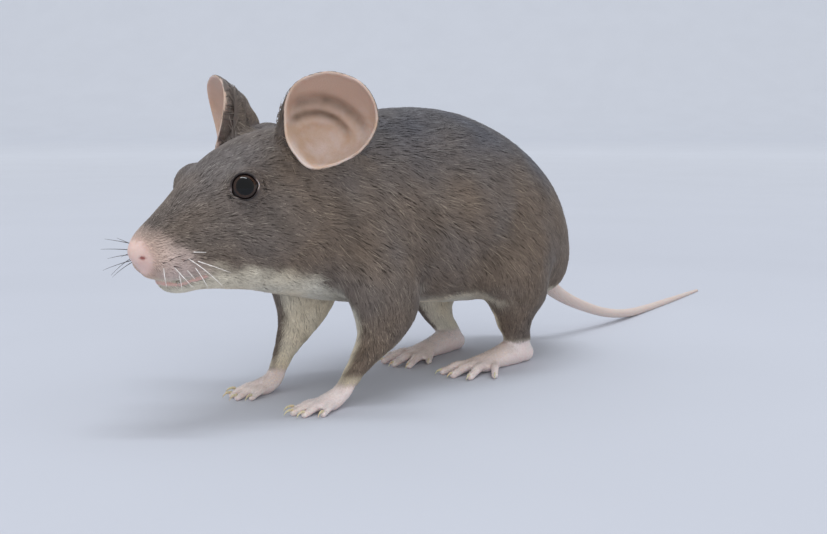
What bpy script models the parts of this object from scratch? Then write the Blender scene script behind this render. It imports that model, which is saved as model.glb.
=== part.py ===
"""A life-size grey house mouse that stands on all fours, parted into its named pieces.

The mouse faces +X, its left side is +Y, and its feet and tail rest on z = 0. Sizes and places are in
millimetres, as a zoologist would note them, and MM turns them into metres. The body is modelled whole: a
lofted head and trunk, tapered limbs, digits and a tail are fused and smoothed, and the whole is then parted
by thin cuts, so that its pieces meet face to face.
"""

import math
from collections import namedtuple

import bmesh
import bpy
import numpy as np
from mathutils import Matrix, Vector

MM = 0.001
GAP = 0.3
FAR = 240.0

# Slices of the head and trunk across X, from the nose to the rump
Slice = namedtuple("Slice", "x top bottom half_width")
TRUNK = (
    Slice(41.5, 22.6, 21.3, 0.6),
    Slice(41.0, 23.3, 20.7, 1.3),
    Slice(39.9, 24.5, 19.8, 2.0),
    Slice(38.0, 25.8, 18.8, 2.8),
    Slice(35.4, 27.8, 17.4, 3.8),
    Slice(32.3, 30.5, 16.8, 4.9),
    Slice(29.0, 32.9, 16.4, 5.8),
    Slice(25.0, 34.7, 15.9, 6.8),
    Slice(21.0, 35.7, 15.0, 7.6),
    Slice(16.5, 36.2, 14.0, 8.2),
    Slice(12.0, 36.6, 13.0, 8.6),
    Slice(7.0, 37.2, 12.2, 9.4),
    Slice(1.0, 38.0, 11.4, 10.6),
    Slice(-6.0, 38.3, 10.6, 11.8),
    Slice(-13.0, 37.5, 9.9, 12.3),
    Slice(-20.0, 35.2, 9.5, 12.2),
    Slice(-26.0, 31.9, 9.4, 11.3),
    Slice(-31.0, 27.8, 8.8, 9.2),
    Slice(-34.3, 23.2, 8.5, 7.1),
    Slice(-36.0, 20.0, 9.0, 5.2),
    Slice(-36.9, 16.8, 10.4, 3.0),
)
WIDEST_AT = 0.44  # share of a slice's height at which it is widest
SQUARENESS = 2.15  # exponent of a slice's superellipse, where 2 is an ellipse

# Level slices of a leg, from its root inside the body down to the foot
LegSlice = namedtuple("LegSlice", "z x y along across")
FORELEG = (
    LegSlice(24.0, 8.0, 5.0, 4.6, 3.2),
    LegSlice(20.0, 8.2, 6.4, 6.0, 3.6),
    LegSlice(16.0, 8.0, 7.4, 6.2, 3.7),
    LegSlice(13.3, 7.7, 7.9, 5.6, 3.6),
    LegSlice(11.5, 7.7, 8.0, 4.9, 3.4),
    LegSlice(9.9, 7.9, 8.0, 4.1, 3.1),
    LegSlice(8.2, 8.9, 7.85, 3.3, 2.7),
    LegSlice(7.0, 10.0, 7.7, 2.6, 2.25),
    LegSlice(5.7, 11.4, 7.4, 1.85, 1.8),
    LegSlice(4.4, 12.65, 7.1, 1.4, 1.45),
    LegSlice(3.0, 13.7, 6.9, 1.15, 1.3),
    LegSlice(1.6, 14.6, 6.7, 1.15, 1.25),
)
HINDLEG = (
    LegSlice(25.0, -20.0, 5.5, 6.5, 4.6),
    LegSlice(20.0, -18.6, 7.4, 8.4, 5.2),
    LegSlice(16.0, -17.6, 8.6, 8.4, 4.8),
    LegSlice(13.0, -17.2, 8.9, 7.4, 4.3),
    LegSlice(11.0, -18.7, 8.8, 5.6, 3.9),
    LegSlice(9.3, -19.6, 8.5, 5.0, 3.2),
    LegSlice(7.6, -19.2, 8.2, 3.5, 2.5),
    LegSlice(5.7, -19.8, 7.9, 2.6, 2.0),
    LegSlice(4.3, -20.8, 7.5, 2.3, 1.65),
    LegSlice(3.0, -21.6, 7.2, 2.2, 1.55),
    LegSlice(1.6, -22.3, 7.0, 2.1, 1.5),
)

# Feet and tail are tapered tubes through these stations. deep and wide are their half-thicknesses
Station = namedtuple("Station", "x y z deep wide")
FOREPAW = (
    Station(14.3, 6.7, 2.1, 1.1, 1.3),
    Station(15.5, 6.5, 1.3, 1.15, 1.45),
    Station(16.8, 6.45, 0.9, 1.15, 1.7),
    Station(18.0, 6.45, 0.72, 0.95, 1.65),
)
HINDFOOT = (
    Station(-23.3, 7.0, 1.35, 1.5, 1.5),
    Station(-21.3, 7.0, 1.9, 2.1, 1.7),
    Station(-16.5, 6.9, 1.4, 1.5, 1.7),
    Station(-13.0, 6.8, 1.0, 1.1, 2.4),
)
TAIL = (
    Station(-32.0, 0.0, 13.2, 2.1, 2.1),
    Station(-37.0, 0.0, 10.2, 1.5, 1.5),
    Station(-42.0, 0.0, 7.2, 1.15, 1.15),
    Station(-48.0, 0.0, 4.7, 0.95, 0.95),
    Station(-56.0, -0.2, 2.3, 0.85, 0.85),
    Station(-65.0, -1.2, 0.95, 0.8, 0.8),
    Station(-75.0, -2.9, 0.5, 0.7, 0.7),
    Station(-86.0, -4.7, 0.4, 0.6, 0.6),
    Station(-101.3, -7.5, 0.2, 0.38, 0.38),
)

# Digits, from the inner to the outer one: where the root and the tip lie, and how thick it is
Digit = namedtuple("Digit", "root_x root_y tip_x tip_y radius")
FORE_DIGITS = (
    Digit(16.4, 5.4, 20.7, 4.2, 0.58),
    Digit(17.0, 6.1, 22.0, 5.6, 0.62),
    Digit(17.0, 6.9, 21.6, 7.3, 0.62),
    Digit(16.2, 7.5, 19.8, 8.8, 0.58),
)
HIND_DIGITS = (
    Digit(-15.0, 5.8, -11.7, 3.85, 0.68),
    Digit(-12.4, 5.6, -7.6, 4.4, 0.76),
    Digit(-12.0, 6.8, -7.1, 6.8, 0.78),
    Digit(-12.4, 8.0, -7.8, 9.4, 0.76),
    Digit(-14.6, 8.4, -10.95, 11.3, 0.68),
)
# The right hind foot stands closer to the middle than the left one, and its toes point inwards
HEEL = (-21.3, 7.0)
RIGHT_HEEL_STEP = (0.7, -1.0)
RIGHT_FOOT_TURN = 6.0  # degrees
KNEE_LEVEL = 12.0
DIGIT_RISE = 0.55  # how far the middle of a toe stands above its tip
CLAW_LENGTH = 1.0
CLAW_RADIUS = 0.32

# The head's own features, on the left side. The right side mirrors them
EYE_CENTRE = (28.8, 5.15, 28.9)
EYE_RADIUS = 2.05
EYE_LOOKS = (0.5, 0.84, 0.2)
LID_OPENING = 1.78  # radius of the round opening between the lids
LID_RADIUS = 0.4
BROW = (3.0, 2.0, 2.75)
EAR_CENTRE = (19.66, 10.66, 36.8)
EAR_HALF_WIDTH = 5.36
EAR_HALF_HEIGHT = 5.4
EAR_YAW = 32.0  # degrees that the cup faces out from straight ahead
EAR_WARP = (0.42, 0.92, 1.15)  # how far its rim bends forward across, up and along its diagonal
EAR_DEPTH = 4.1  # of its middle: it is deeper towards the root
# How far the rim reaches beyond an oval, at even turns from its front edge round its root, rear and tip
EAR_OUTLINE = (
    *(0.99, 1.0, 1.01, 1.05, 0.93, 0.865, 0.875, 0.92),
    *(1.0, 1.035, 1.035, 0.985, 0.98, 1.0, 1.07, 1.055),
)
EAR_THICKNESS = 0.6
EAR_ROOT = ((16.4, 5.4, 32.2), (5.0, 3.9, 4.3))
WHISKER_PAD = ((36.2, 2.2, 20.5), (3.4, 2.3, 2.2))
UPPER_LIP = ((37.7, 0.0, 19.8), (2.0, 2.0, 1.3))
LOWER_LIP = ((34.6, 0.0, 17.8), (2.9, 2.5, 1.4))
NOSTRIL = ((40.3, 1.45, 21.5), 0.42)
MOUTH_LEVEL = 18.3
MOUTH_CORNER = (33.4, 4.6, 19.3)
MOUTH_DEPTH = 0.8
MOUTH_HEIGHT = 0.42

# How finely each stage is meshed, in millimetres, and how much it is smoothed
MUSCLE_VOXEL = 0.7
MUSCLE_SMOOTHING = 10
SKIN_VOXEL = 0.3
SKIN_SMOOTHING = 4
SKIN_TRIANGLES = 6000

# Where the whole is parted: a point of each cut and the way the cut faces
Cut = namedtuple("Cut", "point normal")
FLOOR_CUT = Cut((0.0, 0.0, 0.0), (0.0, 0.0, -1.0))
HEAD_CUT = Cut((13.2, 0.0, 25.0), (1.0, 0.0, 0.16))
NECK_CUT = Cut((8.0, 0.0, 25.0), (1.0, 0.0, 0.24))
WRIST_CUT = Cut((13.2, 6.9, 3.2), (0.7, 0.0, -0.7))
ANKLE_CUT = Cut((-21.4, 7.2, 3.9), (0.1, 0.0, -1.0))
TAIL_CUT = Cut((-38.5, 0.0, 9.3), (-1.0, 0.0, -0.45))
TAIL_MIDDLE_CUT = Cut((-57.0, 0.0, 2.4), (-1.0, 0.0, 0.0))
TAIL_TIP_CUT = Cut((-76.0, 0.0, 1.0), (-1.0, 0.0, 0.0))

# A leg is what lies in the ellipsoid of its shoulder or hip, or in the box below the belly
SHOULDER = ((7.4, 9.0, 14.6), (8.2, 6.6, 8.6))
HIP = ((-17.8, 10.0, 15.6), (10.2, 7.4, 10.0))
FORE_BOX = ((-4.0, 1.0, -3.0), (30.0, 16.0, 8.2))
HIND_BOX = ((-30.0, 1.0, -3.0), (-4.2, 16.0, 8.0))

FUR = (0.105, 0.090, 0.085)
BARE_SKIN = (0.62, 0.40, 0.35)
EYE = (0.012, 0.008, 0.007)


def material(name, colour, roughness):
    """A Principled material of one colour."""
    made = bpy.data.materials.new(name)
    made.use_nodes = True
    shader = made.node_tree.nodes["Principled BSDF"]
    shader.inputs["Base Color"].default_value = (*colour, 1.0)
    shader.inputs["Roughness"].default_value = roughness
    return made


def mesh_object(name, points, faces):
    """An object with this mesh, whose points are in millimetres."""
    mesh = bpy.data.meshes.new(name)
    mesh.from_pydata([Vector(p) * MM for p in points], [], faces)
    mesh.update()
    made = bpy.data.objects.new(name, mesh)
    bpy.context.scene.collection.objects.link(made)
    return made


def bridged_rings(name, rings):
    """A closed tube through the rings, whose points run anticlockwise as seen from the last ring."""
    count = len(rings[0])
    points = [p for ring in rings for p in ring]
    faces = []
    for i in range(len(rings) - 1):
        for j in range(count):
            k = (j + 1) % count
            faces.append((i * count + j, i * count + k, (i + 1) * count + k, (i + 1) * count + j))
    faces.append(tuple(reversed(range(count))))
    faces.append(tuple(range((len(rings) - 1) * count, len(rings) * count)))
    return mesh_object(name, points, faces)


def smooth_rows(rows, steps):
    """Rows of numbers between the given ones, on a curve that passes through each of them."""
    rows = np.array(rows, float)
    padded = np.vstack([2 * rows[0] - rows[1], rows, 2 * rows[-1] - rows[-2]])
    made = []
    for before, a, b, after in zip(padded, padded[1:], padded[2:], padded[3:]):
        for t in np.linspace(0, 1, steps, endpoint=False):
            made.append(
                0.5
                * (
                    2 * a
                    + (b - before) * t
                    + (2 * before - 5 * a + 4 * b - after) * t**2
                    + (3 * a - before - 3 * b + after) * t**3
                )
            )
    return np.array(made + [rows[-1]])


def rounded(wave):
    """Sine or cosine values bent from a circle towards a superellipse."""
    return np.sign(wave) * np.abs(wave) ** (2 / SQUARENESS)


def trunk_object(sides=40, steps=4):
    """The loft of the head and trunk."""
    turn = np.linspace(0, 2 * np.pi, sides, endpoint=False)
    rings = []
    for x, top, bottom, half_width in smooth_rows(TRUNK, steps):
        middle = bottom + (top - bottom) * WIDEST_AT
        up = rounded(np.sin(turn))
        z = middle + np.where(up > 0, (top - middle) * up, (middle - bottom) * up)
        y = -half_width * rounded(np.cos(turn))
        rings.append(np.column_stack([np.full(sides, x), y, z]))
    return bridged_rings("trunk", rings)


def leg_object(name, slices, sides=20, steps=3, side=1):
    """The muscles of a leg, as a stack of level ovals. side -1 mirrors it to the right of the mouse."""
    turn = np.linspace(0, 2 * np.pi, sides, endpoint=False)
    rings = []
    for z, x, y, along, across in smooth_rows(slices, steps)[::-1]:
        rings.append(
            np.column_stack([x + along * np.cos(turn), y * side + across * np.sin(turn), np.full(sides, z)])
        )
    return bridged_rings(name, rings)


def tube_object(name, stations, sides=16, steps=4, side=1):
    """A tapered tube with round ends. side -1 mirrors it to the right of the mouse."""
    rows = smooth_rows(stations, steps)
    centres = rows[:, :3]
    centres[:, 1] *= side
    tangents = np.gradient(centres, axis=0)
    tangents /= np.linalg.norm(tangents, axis=1)[:, None]
    turn = np.linspace(0, 2 * np.pi, sides, endpoint=False)
    rings = []

    def add_ring(centre, tangent, deep, wide):
        sideways = np.cross([0.0, 0.0, 1.0], tangent)
        sideways /= np.linalg.norm(sideways)
        upward = np.cross(tangent, sideways)
        rings.append(
            centre + np.outer(np.cos(turn) * wide, sideways) + np.outer(np.sin(turn) * deep, upward)
        )

    def add_cap(row, tangent, way, angles):
        for angle in angles:
            shift = way * math.sin(angle) * min(row[3], row[4])
            add_ring(row[:3] + tangent * shift, tangent, row[3] * math.cos(angle), row[4] * math.cos(angle))

    add_cap(rows[0], tangents[0], -1, (1.3, 0.9, 0.45))
    for row, tangent in zip(rows, tangents):
        add_ring(row[:3], tangent, row[3], row[4])
    add_cap(rows[-1], tangents[-1], 1, (0.45, 0.9, 1.3))
    return bridged_rings(name, rings)


def ellipsoid_object(name, centre, radii, sides=16):
    """An ellipsoid with its axes along X, Y and Z."""
    levels = np.linspace(-math.pi / 2 + 0.15, math.pi / 2 - 0.15, sides // 2 + 1)
    turn = np.linspace(0, 2 * np.pi, sides, endpoint=False)
    rings = [
        np.column_stack(
            [
                centre[0] + radii[0] * math.cos(level) * np.cos(turn),
                centre[1] + radii[1] * math.cos(level) * np.sin(turn),
                np.full(sides, centre[2] + radii[2] * math.sin(level)),
            ]
        )
        for level in levels
    ]
    return bridged_rings(name, rings)


def mirrored(point, side):
    """The point on the left (side 1) or the right (side -1) of the mouse."""
    return (point[0], point[1] * side, point[2])


def hind_place(x, y, side):
    """Where a point of the left hind foot's tables lies on this side's foot."""
    if side > 0:
        return x, y
    turn = math.radians(RIGHT_FOOT_TURN)
    ahead, beside = x - HEEL[0], y - HEEL[1]
    turned_x = HEEL[0] + ahead * math.cos(turn) + beside * math.sin(turn)
    turned_y = HEEL[1] - ahead * math.sin(turn) + beside * math.cos(turn)
    return turned_x + RIGHT_HEEL_STEP[0], turned_y + RIGHT_HEEL_STEP[1]


def hind_stations(side):
    return [Station(*hind_place(s.x, s.y, side), *s[2:]) for s in HINDFOOT]


def hind_digits(side):
    return [
        Digit(*hind_place(d.root_x, d.root_y, side), *hind_place(d.tip_x, d.tip_y, side), d.radius)
        for d in HIND_DIGITS
    ]


def hind_slices(side):
    """The slices of a hind leg, which lean over to their own foot below the knee."""
    if side > 0:
        return HINDLEG
    made = []
    for row in HINDLEG:
        share = min(1.0, max(0.0, (KNEE_LEVEL - row.z) / (KNEE_LEVEL - 3.0)))
        x = row.x + RIGHT_HEEL_STEP[0] * share
        made.append(LegSlice(row.z, x, row.y + RIGHT_HEEL_STEP[1] * share, row.along, row.across))
    return made


def digit_object(digit, side):
    """One toe: it arches from its root and comes down on its pad."""
    half_x = (digit.root_x + digit.tip_x) / 2
    half_y = (digit.root_y + digit.tip_y) / 2
    r = digit.radius
    low = r - 0.22
    stations = (
        Station(digit.root_x, digit.root_y, low + DIGIT_RISE, r * 1.1, r * 1.05),
        Station(half_x, half_y, low + DIGIT_RISE, r * 0.95, r * 0.92),
        Station(digit.tip_x, digit.tip_y, low, r, r),
    )
    return tube_object("digit", stations, sides=10, steps=3, side=side)


def claw_object(digit, side):
    """A claw that leaves the top of the toe's tip and hooks down to the floor."""
    way = Vector((digit.tip_x - digit.root_x, (digit.tip_y - digit.root_y) * side, 0)).normalized()
    sideways = Vector((0, 0, 1)).cross(way)
    root = Vector((digit.tip_x, digit.tip_y * side, 0.8)) - way * 0.15
    rings = []
    for share, drop, thick in ((0.0, 0.0, 1.0), (0.6, -0.02, 0.85), (0.85, 0.2, 0.55), (1.0, 0.5, 0.2)):
        at = root + way * CLAW_LENGTH * share - Vector((0, 0, drop))
        ring = []
        for j in range(5):
            turn = 2 * math.pi * j / 5
            spoke = sideways * math.cos(turn) * 0.8 + Vector((0, 0, math.sin(turn)))
            ring.append(at + spoke * CLAW_RADIUS * thick)
        rings.append(ring)
    return bridged_rings("claw", rings)


def joined(name, objects):
    """The objects as one object, whose pieces still pass through each other."""
    for each in objects:
        each.select_set(True)
    bpy.context.view_layer.objects.active = objects[0]
    with bpy.context.temp_override(
        active_object=objects[0], selected_editable_objects=objects, selected_objects=objects
    ):
        bpy.ops.object.join()
    objects[0].name = name
    objects[0].data.name = name
    objects[0].select_set(False)
    return objects[0]


def settled(made):
    """Applies the object's modifiers, so that its mesh is what they make."""
    graph = bpy.context.evaluated_depsgraph_get()
    mesh = bpy.data.meshes.new_from_object(made.evaluated_get(graph))
    made.modifiers.clear()
    old, made.data = made.data, mesh
    bpy.data.meshes.remove(old)
    return made


def fused(name, objects, voxel, smoothing):
    """The objects melted into one smooth skin."""
    made = joined(name, objects)
    remesh = made.modifiers.new("Fuse", "REMESH")
    remesh.mode = "VOXEL"
    remesh.voxel_size = voxel * MM
    smooth = made.modifiers.new("Smooth", "SMOOTH")
    smooth.factor = 0.5
    smooth.iterations = smoothing
    return settled(made)


def copied(made, name):
    """A copy of the object with its own mesh."""
    new = bpy.data.objects.new(name, made.data.copy())
    bpy.context.scene.collection.objects.link(new)
    return new


def boolean(made, other, operation):
    """Cuts or joins the object with another one, which is then removed."""
    step = made.modifiers.new(operation, "BOOLEAN")
    step.operation = operation
    step.object = other
    step.solver = "EXACT"
    settled(made)
    bpy.data.objects.remove(other)
    return made


def beyond(cut, shift=0.0, side=1):
    """A large block that fills the space in front of a cut. shift moves its face back, to leave a gap."""
    normal = Vector(mirrored(cut.normal, side)).normalized()
    turn = normal.to_track_quat("X", "Z").to_matrix().to_4x4()
    corners = [
        (x, y, z) for x in (0.0, FAR) for y in (-FAR / 2, FAR / 2) for z in (-FAR / 2, FAR / 2)
    ]
    face = Vector(mirrored(cut.point, side)) - normal * shift
    points = [face + turn @ Vector(c) for c in corners]
    faces = [(0, 1, 3, 2), (4, 6, 7, 5), (0, 4, 5, 1), (2, 3, 7, 6), (0, 2, 6, 4), (1, 5, 7, 3)]
    return mesh_object("beyond", points, faces)


def largest_body(made):
    """Keeps the object's largest closed surface only."""
    mesh = made.data
    parent = list(range(len(mesh.vertices)))

    def find(i):
        while parent[i] != i:
            parent[i] = parent[parent[i]]
            i = parent[i]
        return i

    for edge in mesh.edges:
        a, b = find(edge.vertices[0]), find(edge.vertices[1])
        parent[a] = b
    groups = {}
    for face in mesh.polygons:
        groups.setdefault(find(face.vertices[0]), []).append(face)
    best = max(groups.values(), key=lambda faces: sum(f.area for f in faces))
    if len(groups) == 1:
        return made
    used = sorted({v for face in best for v in face.vertices})
    index = {v: i for i, v in enumerate(used)}
    new = bpy.data.meshes.new(made.name)
    new.from_pydata(
        [mesh.vertices[v].co.copy() for v in used],
        [],
        [[index[v] for v in face.vertices] for face in best],
    )
    made.data = new
    return made


def ear_axes(side):
    """Three axes of an ear: the way it opens, from its front edge to its rear, and from root to tip."""
    yaw = math.radians(EAR_YAW)
    outward = Vector((math.cos(yaw), math.sin(yaw), 0))
    across = Vector((-math.sin(yaw), math.cos(yaw), 0))
    return [Vector(mirrored(axis, side)) for axis in (outward, across, outward.cross(across))]


def ear_reach(turn):
    """How far the rim reaches at this turn, on a smooth curve through the outline."""
    count = len(EAR_OUTLINE)
    step = (turn / (2 * math.pi) + 0.5) * count
    i, t = math.floor(step), step % 1.0
    before, a, b, after = (EAR_OUTLINE[(i + k) % count] for k in (-1, 0, 1, 2))
    bend = (2 * before - 5 * a + 4 * b - after) * t**2 + (3 * a - before - 3 * b + after) * t**3
    return 0.5 * (2 * a + (b - before) * t + bend)


def ear_cup(radius, turn):
    """A point of the left ear's inner face. radius runs from its deepest point, 0, to its rim, 1."""
    outward, across, upward = ear_axes(1)
    rear = radius * ear_reach(turn) * math.cos(turn)
    up = radius * ear_reach(turn) * math.sin(turn)
    depth = EAR_DEPTH * (1 - radius**2) ** 0.6 * (1 - 0.65 * up)
    warp = EAR_WARP[0] * rear**2 + EAR_WARP[1] * up**2 + EAR_WARP[2] * rear * up
    at = Vector(EAR_CENTRE) + upward * (EAR_HALF_HEIGHT * up) + across * (EAR_HALF_WIDTH * rear)
    return at + outward * (warp - depth)


def ear_object(side):
    """The cup of an ear: a deep scoop with an even thickness and a warped rim."""
    radii = (0.3, 0.52, 0.7, 0.84, 0.94, 1.0)
    sectors = 26
    inner, outer = [ear_cup(0, 0)], [ear_cup(0, 0) - ear_axes(1)[0] * EAR_THICKNESS]
    for radius in radii:
        for j in range(sectors):
            turn = 2 * math.pi * j / sectors
            at = ear_cup(radius, turn)
            along = ear_cup(radius, turn + 0.05) - ear_cup(radius, turn - 0.05)
            behind = (at - ear_cup(radius - 0.02, turn)).cross(along).normalized()
            inner.append(at)
            outer.append(at - behind * EAR_THICKNESS)
    points = [mirrored(p, side) for p in inner + outer]
    count = len(inner)
    faces = []
    for j in range(sectors):
        k = (j + 1) % sectors
        faces += [(0, 1 + j, 1 + k), (count, count + 1 + k, count + 1 + j)]
        for ring in range(len(radii) - 1):
            a, b = 1 + ring * sectors + j, 1 + ring * sectors + k
            c, d = a + sectors, b + sectors
            faces += [(a, c, b), (b, c, d)]
            faces += [(count + a, count + b, count + c), (count + b, count + d, count + c)]
        a, b = 1 + (len(radii) - 1) * sectors + j, 1 + (len(radii) - 1) * sectors + k
        faces += [(a, count + a, b), (b, count + a, count + b)]
    if side < 0:
        faces = [face[::-1] for face in faces]
    return mesh_object("ear_left" if side > 0 else "ear_right", points, faces)


def ear_room(ear, side):
    """What the head leaves free for an ear: its cup, the hollow in it and in front of it, and the gap."""
    shape = bmesh.new()
    for vertex in ear.data.vertices:
        shape.verts.new(vertex.co)
        shape.verts.new(vertex.co + ear_axes(side)[0] * EAR_DEPTH * MM)
    hull = bmesh.ops.convex_hull(shape, input=shape.verts)
    unused = [g for g in hull["geom_interior"] if isinstance(g, bmesh.types.BMVert)]
    bmesh.ops.delete(shape, geom=unused, context="VERTS")
    bmesh.ops.recalc_face_normals(shape, faces=shape.faces)
    mesh = bpy.data.meshes.new("room")
    shape.to_mesh(mesh)
    shape.free()
    room = bpy.data.objects.new("room", mesh)
    bpy.context.scene.collection.objects.link(room)
    swell = room.modifiers.new("Swell", "DISPLACE")
    swell.strength = GAP * MM
    swell.mid_level = 0.0
    return settled(room)


def ring_object(name, centre, axis, radius, thickness, sides=24, around=8):
    """A round ring about the axis."""
    turn = Vector(axis).to_track_quat("Z", "Y").to_matrix()
    points = []
    for i in range(sides):
        a = 2 * math.pi * i / sides
        for j in range(around):
            b = 2 * math.pi * j / around
            reach = radius + thickness * math.cos(b)
            p = Vector((math.cos(a) * reach, math.sin(a) * reach, thickness * math.sin(b)))
            points.append(Vector(centre) + turn @ p)
    faces = []
    for i in range(sides):
        for j in range(around):
            k, m = (i + 1) % sides * around, (j + 1) % around
            faces.append((i * around + j, k + j, k + m, i * around + m))
    return mesh_object(name, points, faces)


def eye_axis(side):
    """The way that the eye looks."""
    return Vector(mirrored(EYE_LOOKS, side)).normalized()


def socket_object(side):
    """The room for the eyeball and the round opening between the lids."""
    centre = Vector(mirrored(EYE_CENTRE, side))
    ball = ellipsoid_object("socket", centre, (EYE_RADIUS + GAP,) * 3, 20)
    axis = eye_axis(side)
    turn = np.linspace(0, 2 * np.pi, 20, endpoint=False)
    matrix = axis.to_track_quat("Z", "Y").to_matrix()
    rings = []
    for reach, radius in ((0.4, LID_OPENING), (1.8, LID_OPENING), (4.0, LID_OPENING + 1.6)):
        ring = [Vector((radius * math.cos(t), radius * math.sin(t), reach)) for t in turn]
        rings.append([centre + matrix @ p for p in ring])
    return boolean(ball, bridged_rings("opening", rings), "UNION")


def mouth_object():
    """The slot between the lips: a thin plate bent like a horseshoe from one corner to the other."""
    corner = Vector(MOUTH_CORNER)
    count = 13
    points = []
    for i in range(count):
        share = -1 + 2 * i / (count - 1)
        angle = share * math.radians(74)
        y = corner.y * 1.02 * math.sin(angle)
        x = corner.x - 1.4 + (38.0 - corner.x + 1.4) * math.cos(angle) ** 0.9
        z = MOUTH_LEVEL + (corner.z - MOUTH_LEVEL) * abs(share) ** 3
        away = Vector((math.cos(angle), math.sin(angle), 0))
        on_lip = Vector((x, y, z))
        for out in (-MOUTH_DEPTH, 2.2):
            for up in (-MOUTH_HEIGHT / 2, MOUTH_HEIGHT / 2):
                points.append(on_lip + away * out + Vector((0, 0, up)))
    faces = [(0, 2, 3, 1)]
    for i in range(count - 1):
        a, b = i * 4, i * 4 + 4
        faces += [(a, b, b + 2, a + 2), (a + 2, b + 2, b + 3, a + 3), (a + 3, b + 3, b + 1, a + 1)]
        faces.append((a + 1, b + 1, b, a))
    last = (count - 1) * 4
    faces.append((last, last + 1, last + 3, last + 2))
    return mesh_object("mouth", points, faces)


def box_object(name, low, high, side):
    """A box between two corners."""
    corners = [(x, y, z) for x in (low[0], high[0]) for y in (low[1], high[1]) for z in (low[2], high[2])]
    points = [mirrored(corner, side) for corner in corners]
    faces = [(0, 1, 3, 2), (4, 6, 7, 5), (0, 4, 5, 1), (2, 3, 7, 6), (0, 2, 6, 4), (1, 5, 7, 3)]
    if side < 0:
        faces = [face[::-1] for face in faces]
    return mesh_object(name, points, faces)


def leg_region(ball, box, grow, side):
    """The room that a leg takes: the ellipsoid of its root and the box below the belly."""
    centre, radii = ball
    root = ellipsoid_object("root", mirrored(centre, side), [r + grow for r in radii], 18)
    low = [c - grow for c in box[0]]
    high = [c + grow for c in box[1]]
    return boolean(root, box_object("below", low, high, side), "UNION")


def parted_by_plane(rest, name, cut, side=1):
    """Takes what lies in front of the cut out of the rest, with half of the gap off each of them."""
    piece = boolean(copied(rest, name), beyond(cut, -GAP / 2, side), "INTERSECT")
    boolean(rest, beyond(cut, GAP / 2, side), "DIFFERENCE")
    return piece


def parted_by_region(rest, name, region, grown_region):
    """Takes what lies in the region out of the rest, which is cut back by the gap."""
    piece = boolean(copied(rest, name), region, "INTERSECT")
    boolean(rest, grown_region, "DIFFERENCE")
    return piece


def clear_scene():
    """Empties the scene."""
    for each in list(bpy.data.objects):
        bpy.data.objects.remove(each)


def whole_body():
    """The mouse in one piece, without its ears, eyes and claws."""
    muscles = [trunk_object(), ellipsoid_object("lower_lip", *LOWER_LIP)]
    for side in (1, -1):
        muscles.append(leg_object("foreleg", FORELEG, side=side))
        muscles.append(leg_object("hindleg", hind_slices(side), side=side))
        muscles.append(ellipsoid_object("ear_root", mirrored(EAR_ROOT[0], side), EAR_ROOT[1]))
        muscles.append(ellipsoid_object("whisker_pad", mirrored(WHISKER_PAD[0], side), WHISKER_PAD[1]))
    muscles.append(tube_object("tail", TAIL[:4]))
    body = fused("body", muscles, MUSCLE_VOXEL, MUSCLE_SMOOTHING)
    details = [body, tube_object("tail", TAIL)]
    details.append(ellipsoid_object("upper_lip", *UPPER_LIP))
    for side in (1, -1):
        details.append(leg_object("forearm", FORELEG[6:], side=side))
        details.append(leg_object("shank", hind_slices(side)[6:], side=side))
        details.append(tube_object("forepaw", FOREPAW, side=side))
        details.append(tube_object("hindfoot", hind_stations(side), side=side))
        for digit in (*FORE_DIGITS, *hind_digits(side)):
            details.append(digit_object(digit, side))
        details.append(ellipsoid_object("brow", mirrored(EYE_CENTRE, side), BROW))
        rim = Vector(mirrored(EYE_CENTRE, side)) + eye_axis(side) * 1.05
        details.append(ring_object("lid", rim, eye_axis(side), LID_OPENING + LID_RADIUS * 0.6, LID_RADIUS))
    return fused("torso", details, SKIN_VOXEL, SKIN_SMOOTHING)


def cut_features(skin):
    """Opens the eye sockets, the mouth and the nostrils, and sets the feet and the tail on flats."""
    boolean(skin, beyond(FLOOR_CUT), "DIFFERENCE")
    boolean(skin, mouth_object(), "DIFFERENCE")
    for side in (1, -1):
        boolean(skin, socket_object(side), "DIFFERENCE")
        centre, radius = NOSTRIL
        radii = (radius * 1.5, radius, radius * 1.2)
        boolean(skin, ellipsoid_object("nostril", mirrored(centre, side), radii, 12), "DIFFERENCE")


def main():
    clear_scene()
    skin = whole_body()
    thin = skin.modifiers.new("Thin", "DECIMATE")
    thin.ratio = min(1.0, SKIN_TRIANGLES / (2 * len(skin.data.polygons)))
    settled(skin)
    cut_features(skin)
    nodes = []
    for side, name in ((1, "left"), (-1, "right")):
        for leg, ball, box, foot, cut, digits in (
            ("foreleg", SHOULDER, FORE_BOX, "forepaw", WRIST_CUT, FORE_DIGITS),
            ("hindleg", HIP, HIND_BOX, "hindfoot", ANKLE_CUT, hind_digits(side)),
        ):
            region = leg_region(ball, box, 0.0, side)
            grown = leg_region(ball, box, GAP, side)
            limb = parted_by_region(skin, leg + "_" + name, region, grown)
            end = parted_by_plane(limb, foot + "_" + name, cut, side)
            for digit in digits:
                boolean(end, claw_object(digit, side), "UNION")
            nodes += [limb, end]
    tail = parted_by_plane(skin, "tail_root", TAIL_CUT)
    tail_middle = parted_by_plane(tail, "tail_middle", TAIL_MIDDLE_CUT)
    tail_tip = parted_by_plane(tail_middle, "tail_tip", TAIL_TIP_CUT)
    neck = parted_by_plane(skin, "neck", NECK_CUT)
    head = parted_by_plane(neck, "head", HEAD_CUT)
    nodes += [skin, neck, head, tail, tail_middle, tail_tip]
    for side, name in ((1, "left"), (-1, "right")):
        ear = ear_object(side)
        boolean(head, ear_room(ear, side), "DIFFERENCE")
        eye = ellipsoid_object("eye_" + name, mirrored(EYE_CENTRE, side), (EYE_RADIUS,) * 3, 14)
        nodes += [ear, eye]
    for node in nodes:
        finish(node)
    centre_over_origin(nodes)


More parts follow.
